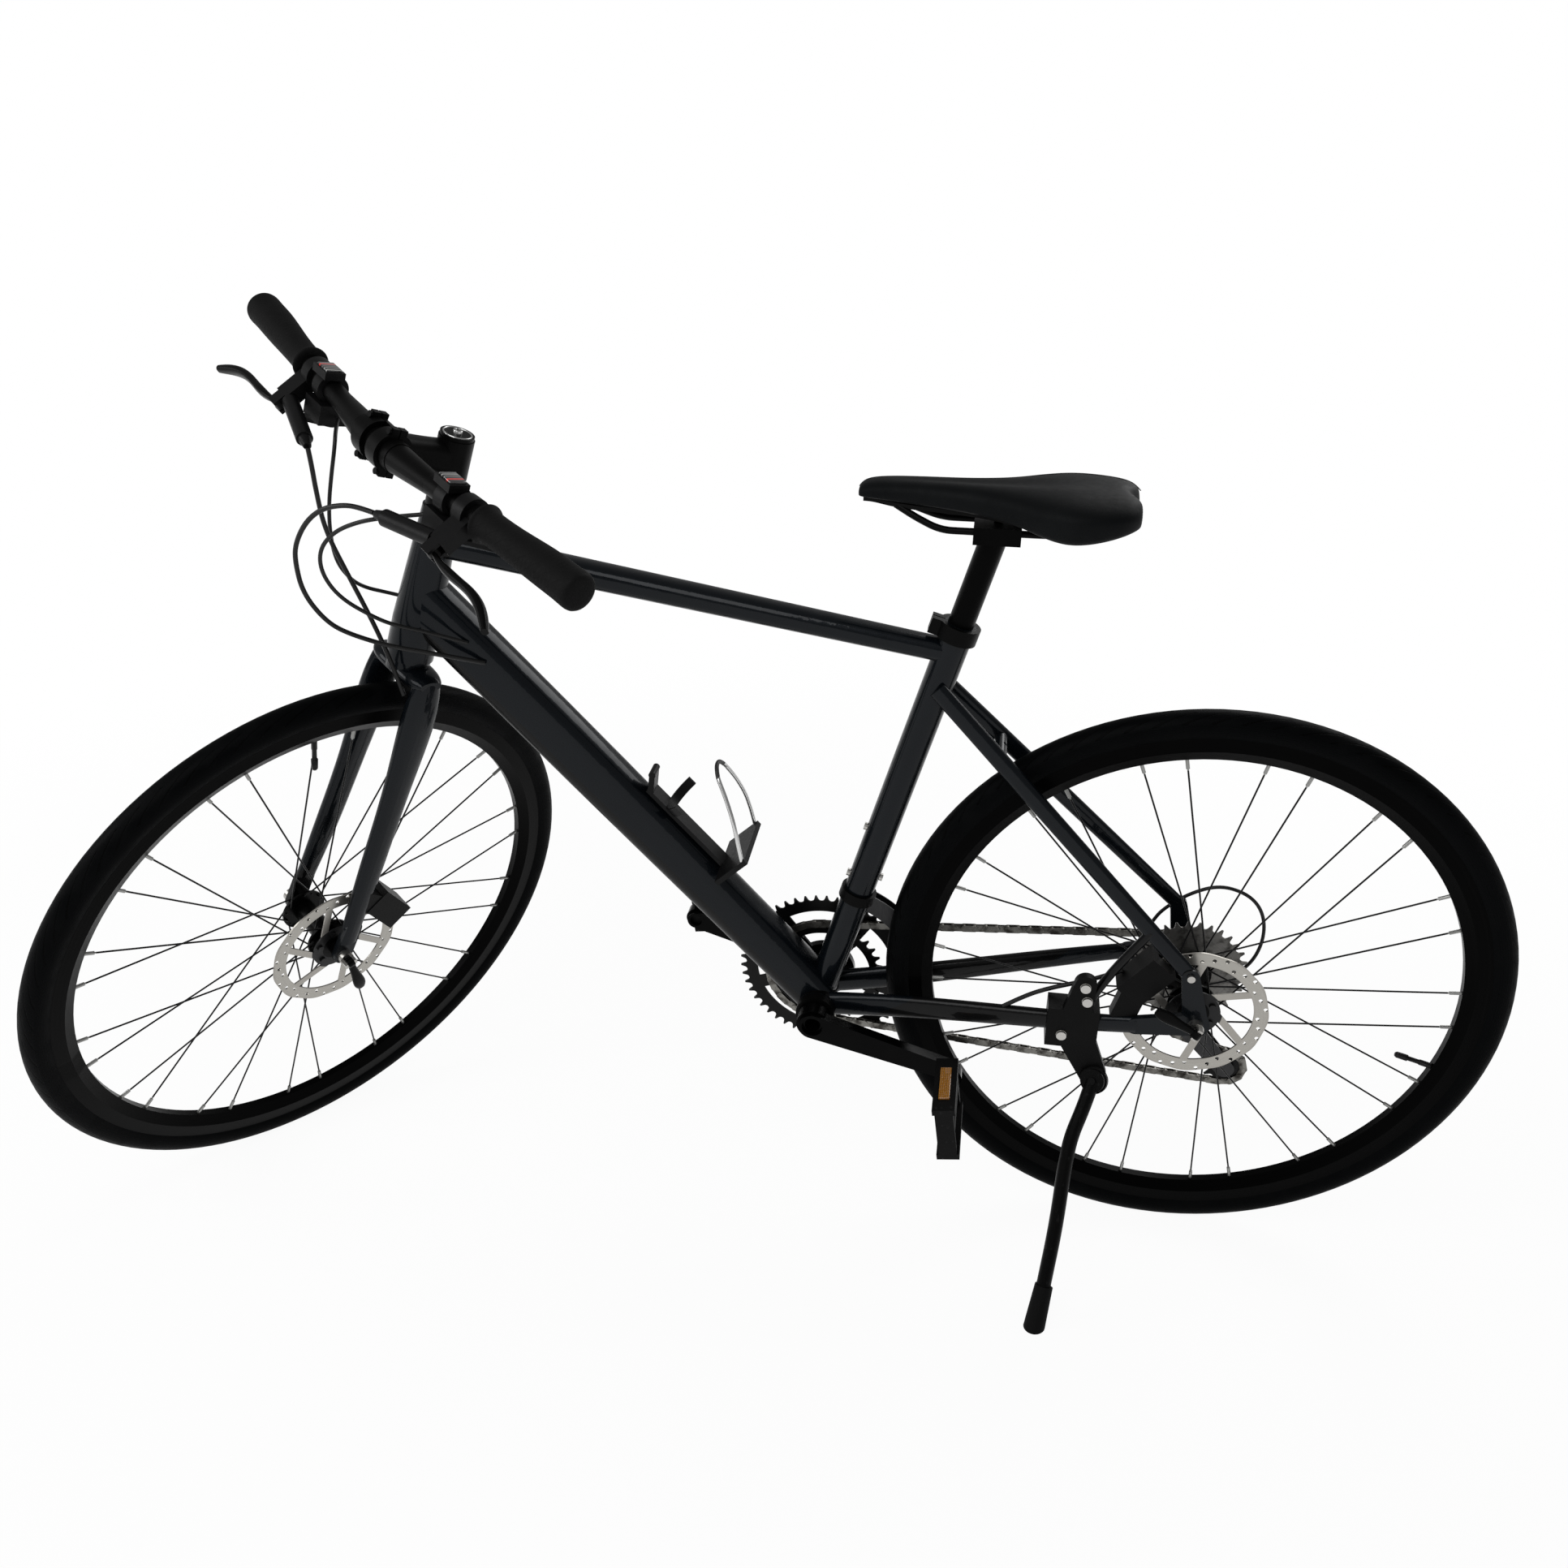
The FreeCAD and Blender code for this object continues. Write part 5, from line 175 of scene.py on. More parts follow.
TOP_FIELD_START, TOP_FIELD_HIGH, TOP_FIELD_SLANT = 1.232, 0.688, 0.9
STAY_FIELD_START, STAY_FIELD_END, STAY_FIELD_SLANT = 0.118, 0.262, 1.5
FIELD_EDGE = 0.002


def dress(made, *nodes):
    """Gives solids of the frame a material."""
    for node in nodes:
        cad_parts[node].data.materials.clear()
        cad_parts[node].data.materials.append(made)


def seen_from(spot, place):
    """Object coordinates as the piece's own, such as those of the upright bike."""
    return spot.node("Mapping", {"vector_type": "TEXTURE"}, {
        "Vector": spot, "Location": place.translation, "Rotation": place.to_euler()})


def grain(spot, scale, detail=3):
    return spot.node("TexNoise", {}, {"Vector": spot, "Scale": scale, "Detail": detail}, "Fac")


def reach(spot, way):
    """How far a point lies along a direction."""
    return spot.node("VectorMath", {"operation": "DOT_PRODUCT"}, {0: spot, 1: way}, "Value")


def step(value, low, high):
    """Rises smoothly from 0 to 1 between two values."""
    return value.node("MapRange", {"interpolation_type": "SMOOTHSTEP"}, {0: value, 1: low, 2: high})


def tinted(mask, first, second):
    """One colour where the mask is 0, and the other where it is 1."""
    values = [(*c, 1) if isinstance(c, tuple) else c for c in (first, second)]
    return mask.node("Mix", {"data_type": "RGBA"}, {0: mask, 6: values[0], 7: values[1]}, 2)


def dents(height, strength, depth):
    return height.node("Bump", {}, {"Strength": strength, "Distance": depth, "Height": height}, "Normal")


def frame_paint(name, place, black_field=None):
    """Flaked grey paint, with a black field where a mask of the piece's own coordinates is 1."""
    made, spot = finish(name)
    flakes = spot.node("TexVoronoi", {}, {"Vector": spot, "Scale": 5200.0}, "Color")
    flake = step(reach(flakes, (0.3, 0.4, 0.3)), 0.55, 0.95)
    drift = grain(spot, 9.0)
    colour = tinted(drift, (0.0028, 0.004, 0.0056), (0.0042, 0.0058, 0.008))
    colour = tinted(flake * 0.35, colour, (0.009, 0.012, 0.016))
    metal, rough = 0.35, step(grain(spot, 60.0, 6), 0.35, 0.75) * 0.1 + 0.24
    if black_field:
        field = black_field(seen_from(spot, place))
        colour = tinted(field, colour, tinted(drift, (0.0012, 0.0012, 0.0013), (0.002, 0.002, 0.0022)))
        metal, rough = metal - field * 0.3, rough + field * 0.12
    surface(spot, {
        "Base Color": colour, "Metallic": metal, "Roughness": rough, "Specular IOR Level": 0.08, "Coat Weight": 0.22,
        "Coat Roughness": 0.04, "Normal": dents(grain(spot, 260.0, 1), 0.02, 0.0003)})
    return made


def down_field(own):
    over, along = reach(own, DOWN_OVER) + DOWN_DROP, reach(own, DOWN_WAY) - DOWN_START
    return 1 - step(over + along * BELLY_SLANT, BELLY_LOW, BELLY_HIGH)


def top_field(own):
    forward, over = reach(own, AHEAD) + reach(own, UP) * TOP_FIELD_SLANT, reach(own, TOP_OVER)
    below = 1 - step(over, TOP_FIELD_HIGH, TOP_FIELD_HIGH + FIELD_EDGE)
    return step(forward, TOP_FIELD_START, TOP_FIELD_START + FIELD_EDGE) * below


def stay_field(own):
    forward = reach(own, AHEAD) + reach(own, UP) * STAY_FIELD_SLANT
    behind = 1 - step(forward, STAY_FIELD_END, STAY_FIELD_END + FIELD_EDGE)
    return step(forward, STAY_FIELD_START, STAY_FIELD_START + FIELD_EDGE) * behind


dress(frame_paint("down_tube_paint", UPRIGHT, down_field), "down_tube")
dress(frame_paint("top_tube_paint", UPRIGHT, top_field), "top_tube")
dress(frame_paint("stay_paint", UPRIGHT, stay_field), "chainstays")
frame_grey = frame_paint("frame_grey", UPRIGHT)
dress(frame_grey, "head_tube", "seat_tube", "seatstays")

# The fork: bladed alloy legs from one crown, in the same paint, with black lower legs cut off on a slant.
# It and everything on it is turned to the left with the front wheel, as STEERED places it.
STEERED = Matrix(((0.609324, -0.782748, -0.126608, -0.062291), (0.759659, 0.530512, 0.376132, -0.794603),
                  (-0.227249, -0.325365, 0.917875, 0.56291), (0, 0, 0, 1)))
RIGHT_BLACK_UP, LEFT_BLACK_UP, RIGHT_LEG = 0.585, 0.525, -0.031


def fork_field(own):
    slanted = reach(own, (0.12, 0, 1)) + reach(own, AHEAD) * 0.4
    right_leg = 1 - step(reach(own, LEFT), RIGHT_LEG, RIGHT_LEG + FIELD_EDGE)
    right_low = 1 - step(slanted, RIGHT_BLACK_UP, RIGHT_BLACK_UP + FIELD_EDGE)
    left_low = 1 - step(slanted, LEFT_BLACK_UP, LEFT_BLACK_UP + FIELD_EDGE)
    return right_low * right_leg + left_low * (1 - right_leg)


dress(frame_paint("fork_paint", STEERED, fork_field), "fork")

# Weld beads: at the two ends of the bottom bracket's shell the welds are left as rows of small overlapping scales
# under the paint. Each row is a ring of flat beads.
CRANK_AXIS = Vector((0.42, 0, -0.06))
SHELL_HALF, WELD_RADIUS, BEAD_RADIUS, BEADS = 0.0335, 0.0215, 0.0019, 44


def facing(way):
    """Turns the Z axis to a direction."""
    return UP.rotation_difference(way).to_matrix().to_4x4()


for name, side in (("shell_left_weld", 1), ("shell_right_weld", -1)):
    weld = bmesh.new()
    for number in range(BEADS):
        bead = bmesh.ops.create_icosphere(weld, subdivisions=1, radius=BEAD_RADIUS)
        place = Matrix.Rotation(math.tau * number / BEADS, 4, "Z") @ Matrix.Translation((WELD_RADIUS, 0, 0))
        bmesh.ops.transform(weld, matrix=place @ Matrix.Diagonal((0.55, 1.0, 1.5, 1)), verts=bead["verts"])
    weld.transform(UPRIGHT @ Matrix.Translation(CRANK_AXIS + LEFT * (side * SHELL_HALF)) @ facing(LEFT))
    weld_piece = formed(name, weld, frame_grey)
    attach(weld_piece, "frame")

# Black finishing parts: bottom bracket cups, seat clamp and derailleur band, seatpost, stem and handlebar are alloy,
# blasted and anodised, with faint handling marks. The stem's top cap has a bright rim and a bright socket screw.
HEAD_WAY = Vector((-0.31341, 0.11565, 0.94255))
CAP_HEIGHT = 0.004


def greys(*shades):
    """The neutral colours of the given strengths."""
    return [(shade,) * 3 for shade in shades]


def black_alloy(name, shade, rough, marks):
    made, spot = finish(name)
    cloud = grain(spot, 35.0, 5)
    slanted = seen_from(spot, Matrix.Rotation(0.6, 4, "X"))
    scratches = spot.node("TexNoise", {}, {
        "Vector": slanted, "Scale": 160.0, "Detail": 8.0, "Roughness": 0.75}, "Fac")
    scuff = step(scratches, 0.62, 0.72)
    colour = tinted(cloud, *greys(shade * 0.8, shade * 1.25))
    surface(spot, {
        "Base Color": tinted(scuff * marks, colour, (shade * 3.2, shade * 3.2, shade * 3.3)), "Metallic": 0.6,
        "Specular IOR Level": 0.06, "Roughness": cloud * 0.14 + (rough - 0.07),
        "Normal": dents(grain(spot, 2400.0, 1), 0.12, 0.0003)})
    return made


def lathed(outline, steps):
    """A mesh turned about the Z axis, from points given as radius and height."""
    mesh = bmesh.new()
    points = [mesh.verts.new((radius, 0, up)) for radius, up in outline]
    lines = [mesh.edges.new(pair) for pair in zip(points, points[1:])]
    bmesh.ops.spin(mesh, geom=points + lines, cent=(0, 0, 0), axis=(0, 0, 1), angle=math.tau, steps=steps,
                   use_merge=True)
    bmesh.ops.remove_doubles(mesh, verts=mesh.verts, dist=0.00002)
    bmesh.ops.recalc_face_normals(mesh, faces=mesh.faces)
    return mesh


dress(black_alloy("satin_black_alloy", 0.004, 0.42, 0.4), "stem", "handlebar", "seat_tube_clamps", "bottom_bracket")
dress(black_alloy("seatpost_black", 0.0016, 0.38, 0.8), "seatpost")

cap_steel, spot = finish("cap_steel")
brush = grain(spot, 300.0, 4)
surface(spot, {"Base Color": tinted(brush, (0.4, 0.4, 0.4), (0.6, 0.6, 0.59)), "Metallic": 1.0,
               "Roughness": brush * 0.15 + 0.2, "Normal": dents(brush, 0.05, 0.0003)})
fork_points = [vert.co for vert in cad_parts["fork"].data.vertices]
steerer_high = max(point.dot(HEAD_WAY) for point in fork_points)
steerer_edge = [point for point in fork_points if point.dot(HEAD_WAY) > steerer_high - 0.0004]
cap_middle = sum(steerer_edge, Vector()) / len(steerer_edge) + HEAD_WAY * CAP_HEIGHT
for name, outline in (
    ("stem_cap_rim", ((0.0134, -0.0006), (0.0138, 0.0006), (0.0146, 0.0009), (0.0152, 0.0005), (0.0154, -0.0006))),
    ("stem_cap_screw", ((0.0021, 0.0028), (0.0023, 0.0036), (0.0044, 0.0036), (0.0048, 0.0031), (0.0048, -0.0005))),
):
    cap = lathed(outline, 40)
    cap.transform(Matrix.Translation(cap_middle) @ facing(HEAD_WAY))
    cap_piece = formed(name, cap, cap_steel)
    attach(cap_piece, "steering")

# The saddle: foam under a matt stitched cover with a shallow channel along the middle, drawn down over a plastic
# base that two steel rails carry.
SADDLE_NOSE, SADDLE_LENGTH, SADDLE_HALF = 0.392, 0.272, 0.073
SADDLE_TOP, SADDLE_UNDER, SADDLE_SKIRT = 0.5695, 0.5358, 0.034
CHANNEL_DEPTH, CHANNEL_HALF, NOTCH_DEPTH, NOTCH_HALF = 0.0024, 0.007, 0.012, 0.014
SEAM_CORNERS, SEAM_RADIUS = (3, 15), 0.0005
# shares of the length and of the half width, fall of the top, rise of the underside and drop of the flanks
stations = (
    (0.0, 0.13, 0.42, 0.38, 0), (0.01, 0.19, 0.28, 0.36, 0), (0.045, 0.24, 0.16, 0.34, 0), (0.12, 0.265, 0.1, 0.29, 0),
    (0.24, 0.29, 0.08, 0.21, 0.02), (0.36, 0.33, 0.08, 0.14, 0.04), (0.46, 0.42, 0.08, 0.08, 0.08),
    (0.56, 0.58, 0.07, 0.04, 0.15), (0.66, 0.85, 0.03, 0.0, 0.42), (0.74, 0.98, 0.0, 0.0, 0.58),
    (0.81, 1.0, 0.0, 0.0, 0.5), (0.88, 0.94, 0.02, 0.0, 0.34), (0.94, 0.83, 0.05, 0.02, 0.18),
    (0.98, 0.68, 0.14, 0.05, 0.06), (1.0, 0.52, 0.27, 0.08, 0))


def share(value, low, high):
    """How far a value lies between two others, from 0 to 1."""
    return min(1, max(0, (value - low) / (high - low)))


def set_station(verts, along, wide, fall, rise, drop):
    """Puts a ring of points on the saddle's section at one place along it."""
    half, top, under = SADDLE_HALF * wide, SADDLE_TOP - SADDLE_SKIRT * fall, SADDLE_UNDER + SADDLE_SKIRT * rise
    middle = under + (top - under) * 0.4
    channel_here = max(0, math.sin(math.pi * share(along, 0.15, 0.95))) ** 0.6
    for vert, (across, up) in zip(verts, saddle_ring):
        y = math.copysign(abs(across) ** 0.75, across) * half
        foot = under - SADDLE_SKIRT * drop * share(abs(y) / half, 0.5, 0.9) ** 2
        z = middle + ((top - middle) * abs(up) ** 0.9 if up > 0 else -(middle - foot) * abs(up) ** 0.5)
        if up <= 0:
            y *= 1 - 0.1 * abs(up)
        if up > 0.5:
            z -= CHANNEL_DEPTH * channel_here * math.exp(-(y / CHANNEL_HALF) ** 2)
        notch = NOTCH_DEPTH * share(along, 0.9, 1.0) * math.exp(-(y / NOTCH_HALF) ** 2)
        vert.co = (SADDLE_NOSE - SADDLE_LENGTH * along + notch, y, z)


def tube(name, points, radius, fineness, made):
    """A round tube along a smooth curve, from points of the upright bike."""
    curve = bpy.data.curves.new(name, "CURVE")
    curve.dimensions, curve.bevel_depth, curve.bevel_resolution = "3D", radius, fineness
    spline = curve.splines.new("NURBS")
    spline.points.add(len(points) - 1)
    for point, place in zip(spline.points, points):
        point.co = (*(UPRIGHT @ place), 1)
    spline.order_u, spline.use_endpoint_u = 3, True
    curve.materials.append(made)
    piece = bpy.data.objects.new(name, curve)
    scene.collection.objects.link(piece)
    return piece


saddle_hide, spot = finish("saddle_hide")
pores = spot.node("TexVoronoi", {}, {"Vector": spot, "Scale": 900.0}, "Distance")
creases = grain(spot, 140.0, 6)
worn = step(grain(spot, 14.0, 4), 0.45, 0.75)
surface(spot, {"Base Color": tinted(worn, (0.002, 0.0025, 0.0029), (0.004, 0.0047, 0.0052)),
               "Roughness": creases * 0.2 + 0.5 - worn * 0.08, "Specular IOR Level": 0.07, "Sheen Weight": 0.015,
               "Normal": dents(pores * 0.6 + creases * 0.5, 0.22, 0.0006)})
saddle = bmesh.new()
ring = bmesh.ops.create_circle(saddle, segments=36, radius=1)["verts"]
saddle_ring = [(vert.co.x, vert.co.y) for vert in ring]
edges = list(saddle.edges)
set_station(ring, *stations[0])
seam_rows = [[ring[corner].co.copy()] for corner in SEAM_CORNERS]
bmesh.ops.contextual_create(saddle, geom=edges)
for station in stations[1:]:
    grown = bmesh.ops.extrude_edge_only(saddle, edges=edges)["geom"]
    edges = [item for item in grown if isinstance(item, bmesh.types.BMEdge)]
    ring = [item for item in grown if isinstance(item, bmesh.types.BMVert)]
    set_station(ring, *station)
    for row, corner in zip(seam_rows, SEAM_CORNERS):
        row.append(ring[corner].co.copy())
bmesh.ops.contextual_create(saddle, geom=edges)
bmesh.ops.recalc_face_normals(saddle, faces=saddle.faces)
saddle.transform(UPRIGHT)
saddle_piece = formed("saddle_cover_padded", saddle, saddle_hide)
rounding = saddle_piece.modifiers.new("rounding", "SUBSURF")
rounding.levels = rounding.render_levels = 3
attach(saddle_piece, "seat")
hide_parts("saddle_cover")

seam_thread, spot = finish("saddle_thread")
surface(spot, {"Base Color": tinted(step(grain(spot, 700.0, 2), 0.4, 0.6), *greys(0.006, 0.016)), "Roughness": 0.6,
               "Specular IOR Level": 0.2})
for name, row in zip(("saddle_seam_left", "saddle_seam_right"), seam_rows):
    seam = tube(name, row, SEAM_RADIUS, 2, seam_thread)
    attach(seam, "seat")

shell_plastic, spot = finish("saddle_shell_plastic")
surface(spot, {"Base Color": tinted(grain(spot, 50.0), *greys(0.0018, 0.004)), "Specular IOR Level": 0.08,
               "Roughness": grain(spot, 300.0) * 0.2 + 0.4, "Normal": dents(grain(spot, 1400.0, 2), 0.15, 0.0004)})
dress(shell_plastic, "saddle_shell")
dress(black_alloy("rail_black", 0.004, 0.34, 0.9), "saddle_rails")

# The grips: moulded rubber sleeves, thicker under the palm, with fine ribs, crossing grooves and a closed end.
# Their inner flange stands against the brake clamp. BAR places the bar, which is skewed a little against the wheel.
BAR = Matrix(((0.665992, -0.738151, -0.107647, -0.118757), (0.717732, 0.594763, 0.362103, -0.752825),
              (-0.203262, -0.31842, 0.925901, 0.539008), (0, 0, 0, 1)))
PALM_WAY = Vector((-0.64405, -0.48075, 0.59504))
PALM_SWELL, PALM_PLACE, PALM_REACH, PALM_RADIUS = 0.0022, 0.1, 0.032, 0.018
grip_rubber, spot = finish("grip_rubber")
own = seen_from(spot, BAR)
along = reach(own, LEFT)
ribs = (along * 1250.0).maths("SINE")
slant = (reach(own, (0.9, 1, -0.5)) * 210.0).maths("SINE").maths("ABSOLUTE")
fields = step((along * 62.0 + reach(own, AHEAD) * 40.0).maths("SINE"), 0.15, 0.3)
relief = ribs * fields * 0.12 + step(slant, 0.0, 0.1) * 0.6 + grain(spot, 900.0, 2) * 0.3
surface(spot, {"Base Color": tinted(grain(spot, 90.0, 5), *greys(0.0026, 0.0052)), "Specular IOR Level": 0.08,
               "Roughness": grain(spot, 400.0) * 0.2 + 0.55, "Normal": dents(relief, 0.5, 0.0009)})
grip_outline = (
    (0.0112, 0.0), (0.0186, 0.0), (0.0194, 0.0022), (0.0186, 0.0042), (0.0162, 0.0056), (0.0156, 0.018), (0.016, 0.045),
    (0.0172, 0.075), (0.0176, 0.1), (0.0176, 0.122), (0.0186, 0.133), (0.0184, 0.1395), (0.0155, 0.1428), (0.0, 0.1434))
for name, start, run in (
    ("left_grip", (0.2672, 0.19348, 0.86713), Vector((-0.78983, 0.54238, -0.28634))),
    ("right_grip", (0.52327, -0.01285, 0.97759), Vector((0.68171, -0.64332, 0.34844))),
):
    grip = lathed(grip_outline, 36)
    for vert in grip.verts:
        under_palm = math.exp(-((vert.co.z - PALM_PLACE) / PALM_REACH) ** 2) * max(0, vert.co.x / PALM_RADIUS)
        vert.co.x += PALM_SWELL * under_palm
    palm = (PALM_WAY - run * PALM_WAY.dot(run)).normalized()
    turn = Matrix((palm, run.cross(palm), run)).transposed().to_4x4()
    grip.transform(Matrix.Translation(start) @ turn)
    grip_piece = formed(name, grip, grip_rubber)
    softened = grip_piece.modifiers.new("softened", "SUBSURF")
    softened.levels = softened.render_levels = 1
    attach(grip_piece, "steering")
    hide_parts("grips")

# Hand controls: cast brake bodies with their master cylinders and moulded shifter bodies on the bar, pressed levers
# with satin blades, and a small lens on each shifter with a red pointer under it.
LENS_SIZE, LENS_EDGE, LENS_BACK, LENS_LIFT = (0.018, 0.021, 0.003), 0.0012, 0.0035, 0.0046
LENS_AHEAD = Vector((0.59742, 0.79554, 0.10103))


def rounded_box(size, edge, segments):
    """A block with rounded edges about the origin."""
    mesh = bmesh.new()
    bmesh.ops.create_cube(mesh, size=1, matrix=Matrix.Diagonal((*size, 1)))
    bmesh.ops.bevel(mesh, geom=mesh.edges, offset=edge, segments=segments, profile=0.5, affect="EDGES", material=-1)
    return mesh


moulded_black, spot = finish("moulded_black")
surface(spot, {"Base Color": tinted(grain(spot, 45.0, 5), (0.0026,) * 3, (0.0052, 0.0052, 0.0056)),
               "Specular IOR Level": 0.12, "Roughness": grain(spot, 220.0) * 0.22 + 0.3,
               "Normal": dents(grain(spot, 1700.0, 2), 0.14, 0.0004)})
dress(moulded_black, "control_bodies", "left_shift_lever", "right_shift_lever", "left_release_lever",
      "right_release_lever")
dress(black_alloy("lever_black", 0.005, 0.32, 0.7), "left_brake_lever", "right_brake_lever")

lens_glass, spot = finish("shifter_lens")
along = reach(seen_from(spot, BAR), LEFT).maths("ABSOLUTE")
pointer = step(along, 0.1262, 0.1266) * (1 - step(along, 0.1289, 0.1293))
scale_marks = step((along * 1400.0).maths("SINE"), 0.72, 0.8) * (1 - step(along, 0.122, 0.1225))
dial = tinted(scale_marks, (0.02, 0.02, 0.021), (0.42, 0.42, 0.4))
surface(spot, {"Base Color": tinted(pointer, dial, (0.62, 0.03, 0.02)), "Roughness": grain(spot, 150.0) * 0.08 + 0.06,
               "Coat Weight": 1.0, "Coat Roughness": 0.03})
for name, middle in (
    ("left_shifter_lens", (0.30649, 0.1739, 0.89793)),
    ("right_shifter_lens", (0.48807, 0.02759, 0.97626)),
):
    lens = rounded_box(LENS_SIZE, LENS_EDGE, 3)
    turn = Matrix((LENS_AHEAD, HEAD_WAY.cross(LENS_AHEAD), HEAD_WAY)).transposed().to_4x4()
    lens.transform(Matrix.Translation(Vector(middle) - LENS_AHEAD * LENS_BACK + HEAD_WAY * LENS_LIFT) @ turn)
    lens_piece = formed(name, lens, lens_glass)
    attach(lens_piece, "steering")

# Cables: two brake hoses and two shift housings leave the hand controls in free loops and go into the down tube and
# the fork; behind are the last loop of housing and the end of the rear hose. The three between the bar and the frame
# are made into plain meshes, fixed to no body. Points are in mm on the upright bike.
HOSE, HOUSING = 0.005, 0.0042
cable_jacket, spot = finish("cable_jacket")
surface(spot, {"Base Color": tinted(grain(spot, 120.0), *greys(0.0035, 0.007)), "Specular IOR Level": 0.25,
               "Roughness": grain(spot, 300.0) * 0.15 + 0.28, "Normal": dents(grain(spot, 800.0, 2), 0.08, 0.0003)})
cable_runs = (
    ("rear_hose_front_run", "steering_cables", None, HOSE, (
        (835.5, 136.2, 547.8), (850, 131, 550), (868, 127, 551), (895, 120, 544), (918, 113, 527), (936, 106, 502),
        (943, 100, 481), (946, 90, 444), (933, 79, 411), (916, 70, 394), (875, 55, 375), (832, 41, 364),
        (786, 24.8, 350))),
    ("left_shift_housing", "steering_cables", None, HOUSING, (
        (779, 121.4, 545.6), (800, 125, 544), (828, 128, 541), (858, 124, 534), (890, 114, 519), (913, 105, 496),
        (920, 94, 467), (911, 81, 437), (886, 65, 412), (869, 55, 400), (837, 39, 387), (803, 24.6, 372))),
    ("right_shift_housing", "steering_cables", None, HOUSING, (
        (929, -8, 596), (924, 10, 592), (921, 24, 577), (926, 30, 550), (935, 27, 519), (943, 19, 487), (948, 7, 451),
        (943, -4, 428), (933, -16, 412), (910, -29, 402), (882, -35, 394), (850, -32, 384), (816, -25, 373))),
    ("front_hose", "front_brake_hose", "steering", HOSE, (
        (937.4, 48.4, 581.4), (936.2, 48.5, 564), (937.5, 45.5, 540), (937, 41, 495), (920, 38, 445), (901, 37, 395),
        (886, 38, 350), (876, 40, 312))),
    ("rear_shift_loop", "rear_cables", "frame", HOUSING, (
        (46, -77.5, 12), (38, -80, 29), (28, -82, 46), (2, -82, 70), (-30, -82, 85), (-60, -82, 78), (-79, -82, 62),
        (-89, -82, 38), (-90, -81, 10), (-82, -79, -16), (-66, -78, -34), (-49.5, -77.5, -43.3))),
    ("rear_hose_end", "rear_cables", "frame", HOSE, (
        (206, 49, -18), (182, 47.5, -1), (158, 47, 11), (132, 47, 21), (106, 48, 32), (81, 50, 47))),
)
for name, node, body, thick, points in cable_runs:
    route = [Vector(point) / 1000 for point in points]
    cable = tube(name, route, thick / 2, 4, cable_jacket)
    cable.data.resolution_u, cable.data.use_fill_caps = 8, True
    if body:
        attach(cable, body)
    else:
        bpy.context.view_layer.update()
        bent = bpy.data.meshes.new_from_object(cable.evaluated_get(bpy.context.evaluated_depsgraph_get()))
        bpy.data.objects.remove(cable)
        cable = bpy.data.objects.new(name, bent)
        scene.collection.objects.link(cable)
        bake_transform(cable)
    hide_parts(node)

# Tyres: black rubber with a smooth crown, short slanted cuts over the shoulders and fine rings on the sidewall.
# Deep alloy rims, anodised black, carry a valve through the inner wall. The hubs are turned, and the rotors are
# brushed steel on a black carrier.
WHEELBASE = 1.046
FRONT = STEERED @ Matrix.Translation((WHEELBASE, 0, 0))
TREAD_START, SIDEWALL_START, NIPPLE_START, VALVE_START = 0.3335, 0.3195, 0.275, 0.2895
TRACK_INNER, TRACK_OUTER, CARRIER_OUTER = 0.0645, 0.0775, 0.0305
SOFT_EDGE = 0.001


def wheel_signals(spot, place):
    """Distance from the axle, angle about it, and distance to the side, from a wheel's own coordinates."""
    own = seen_from(spot, place)
    ahead, up = reach(own, AHEAD), reach(own, UP)
    return (ahead * ahead + up * up).maths("SQRT"), up.maths("ARCTAN2", ahead), reach(own, LEFT)


def brushed(spot, x, y, z, detail):
    """Grain drawn out along the directions with the smaller scales."""
    return grain(spot.node("CombineXYZ", {}, {0: x, 1: y, 2: z}), 1.0, detail)


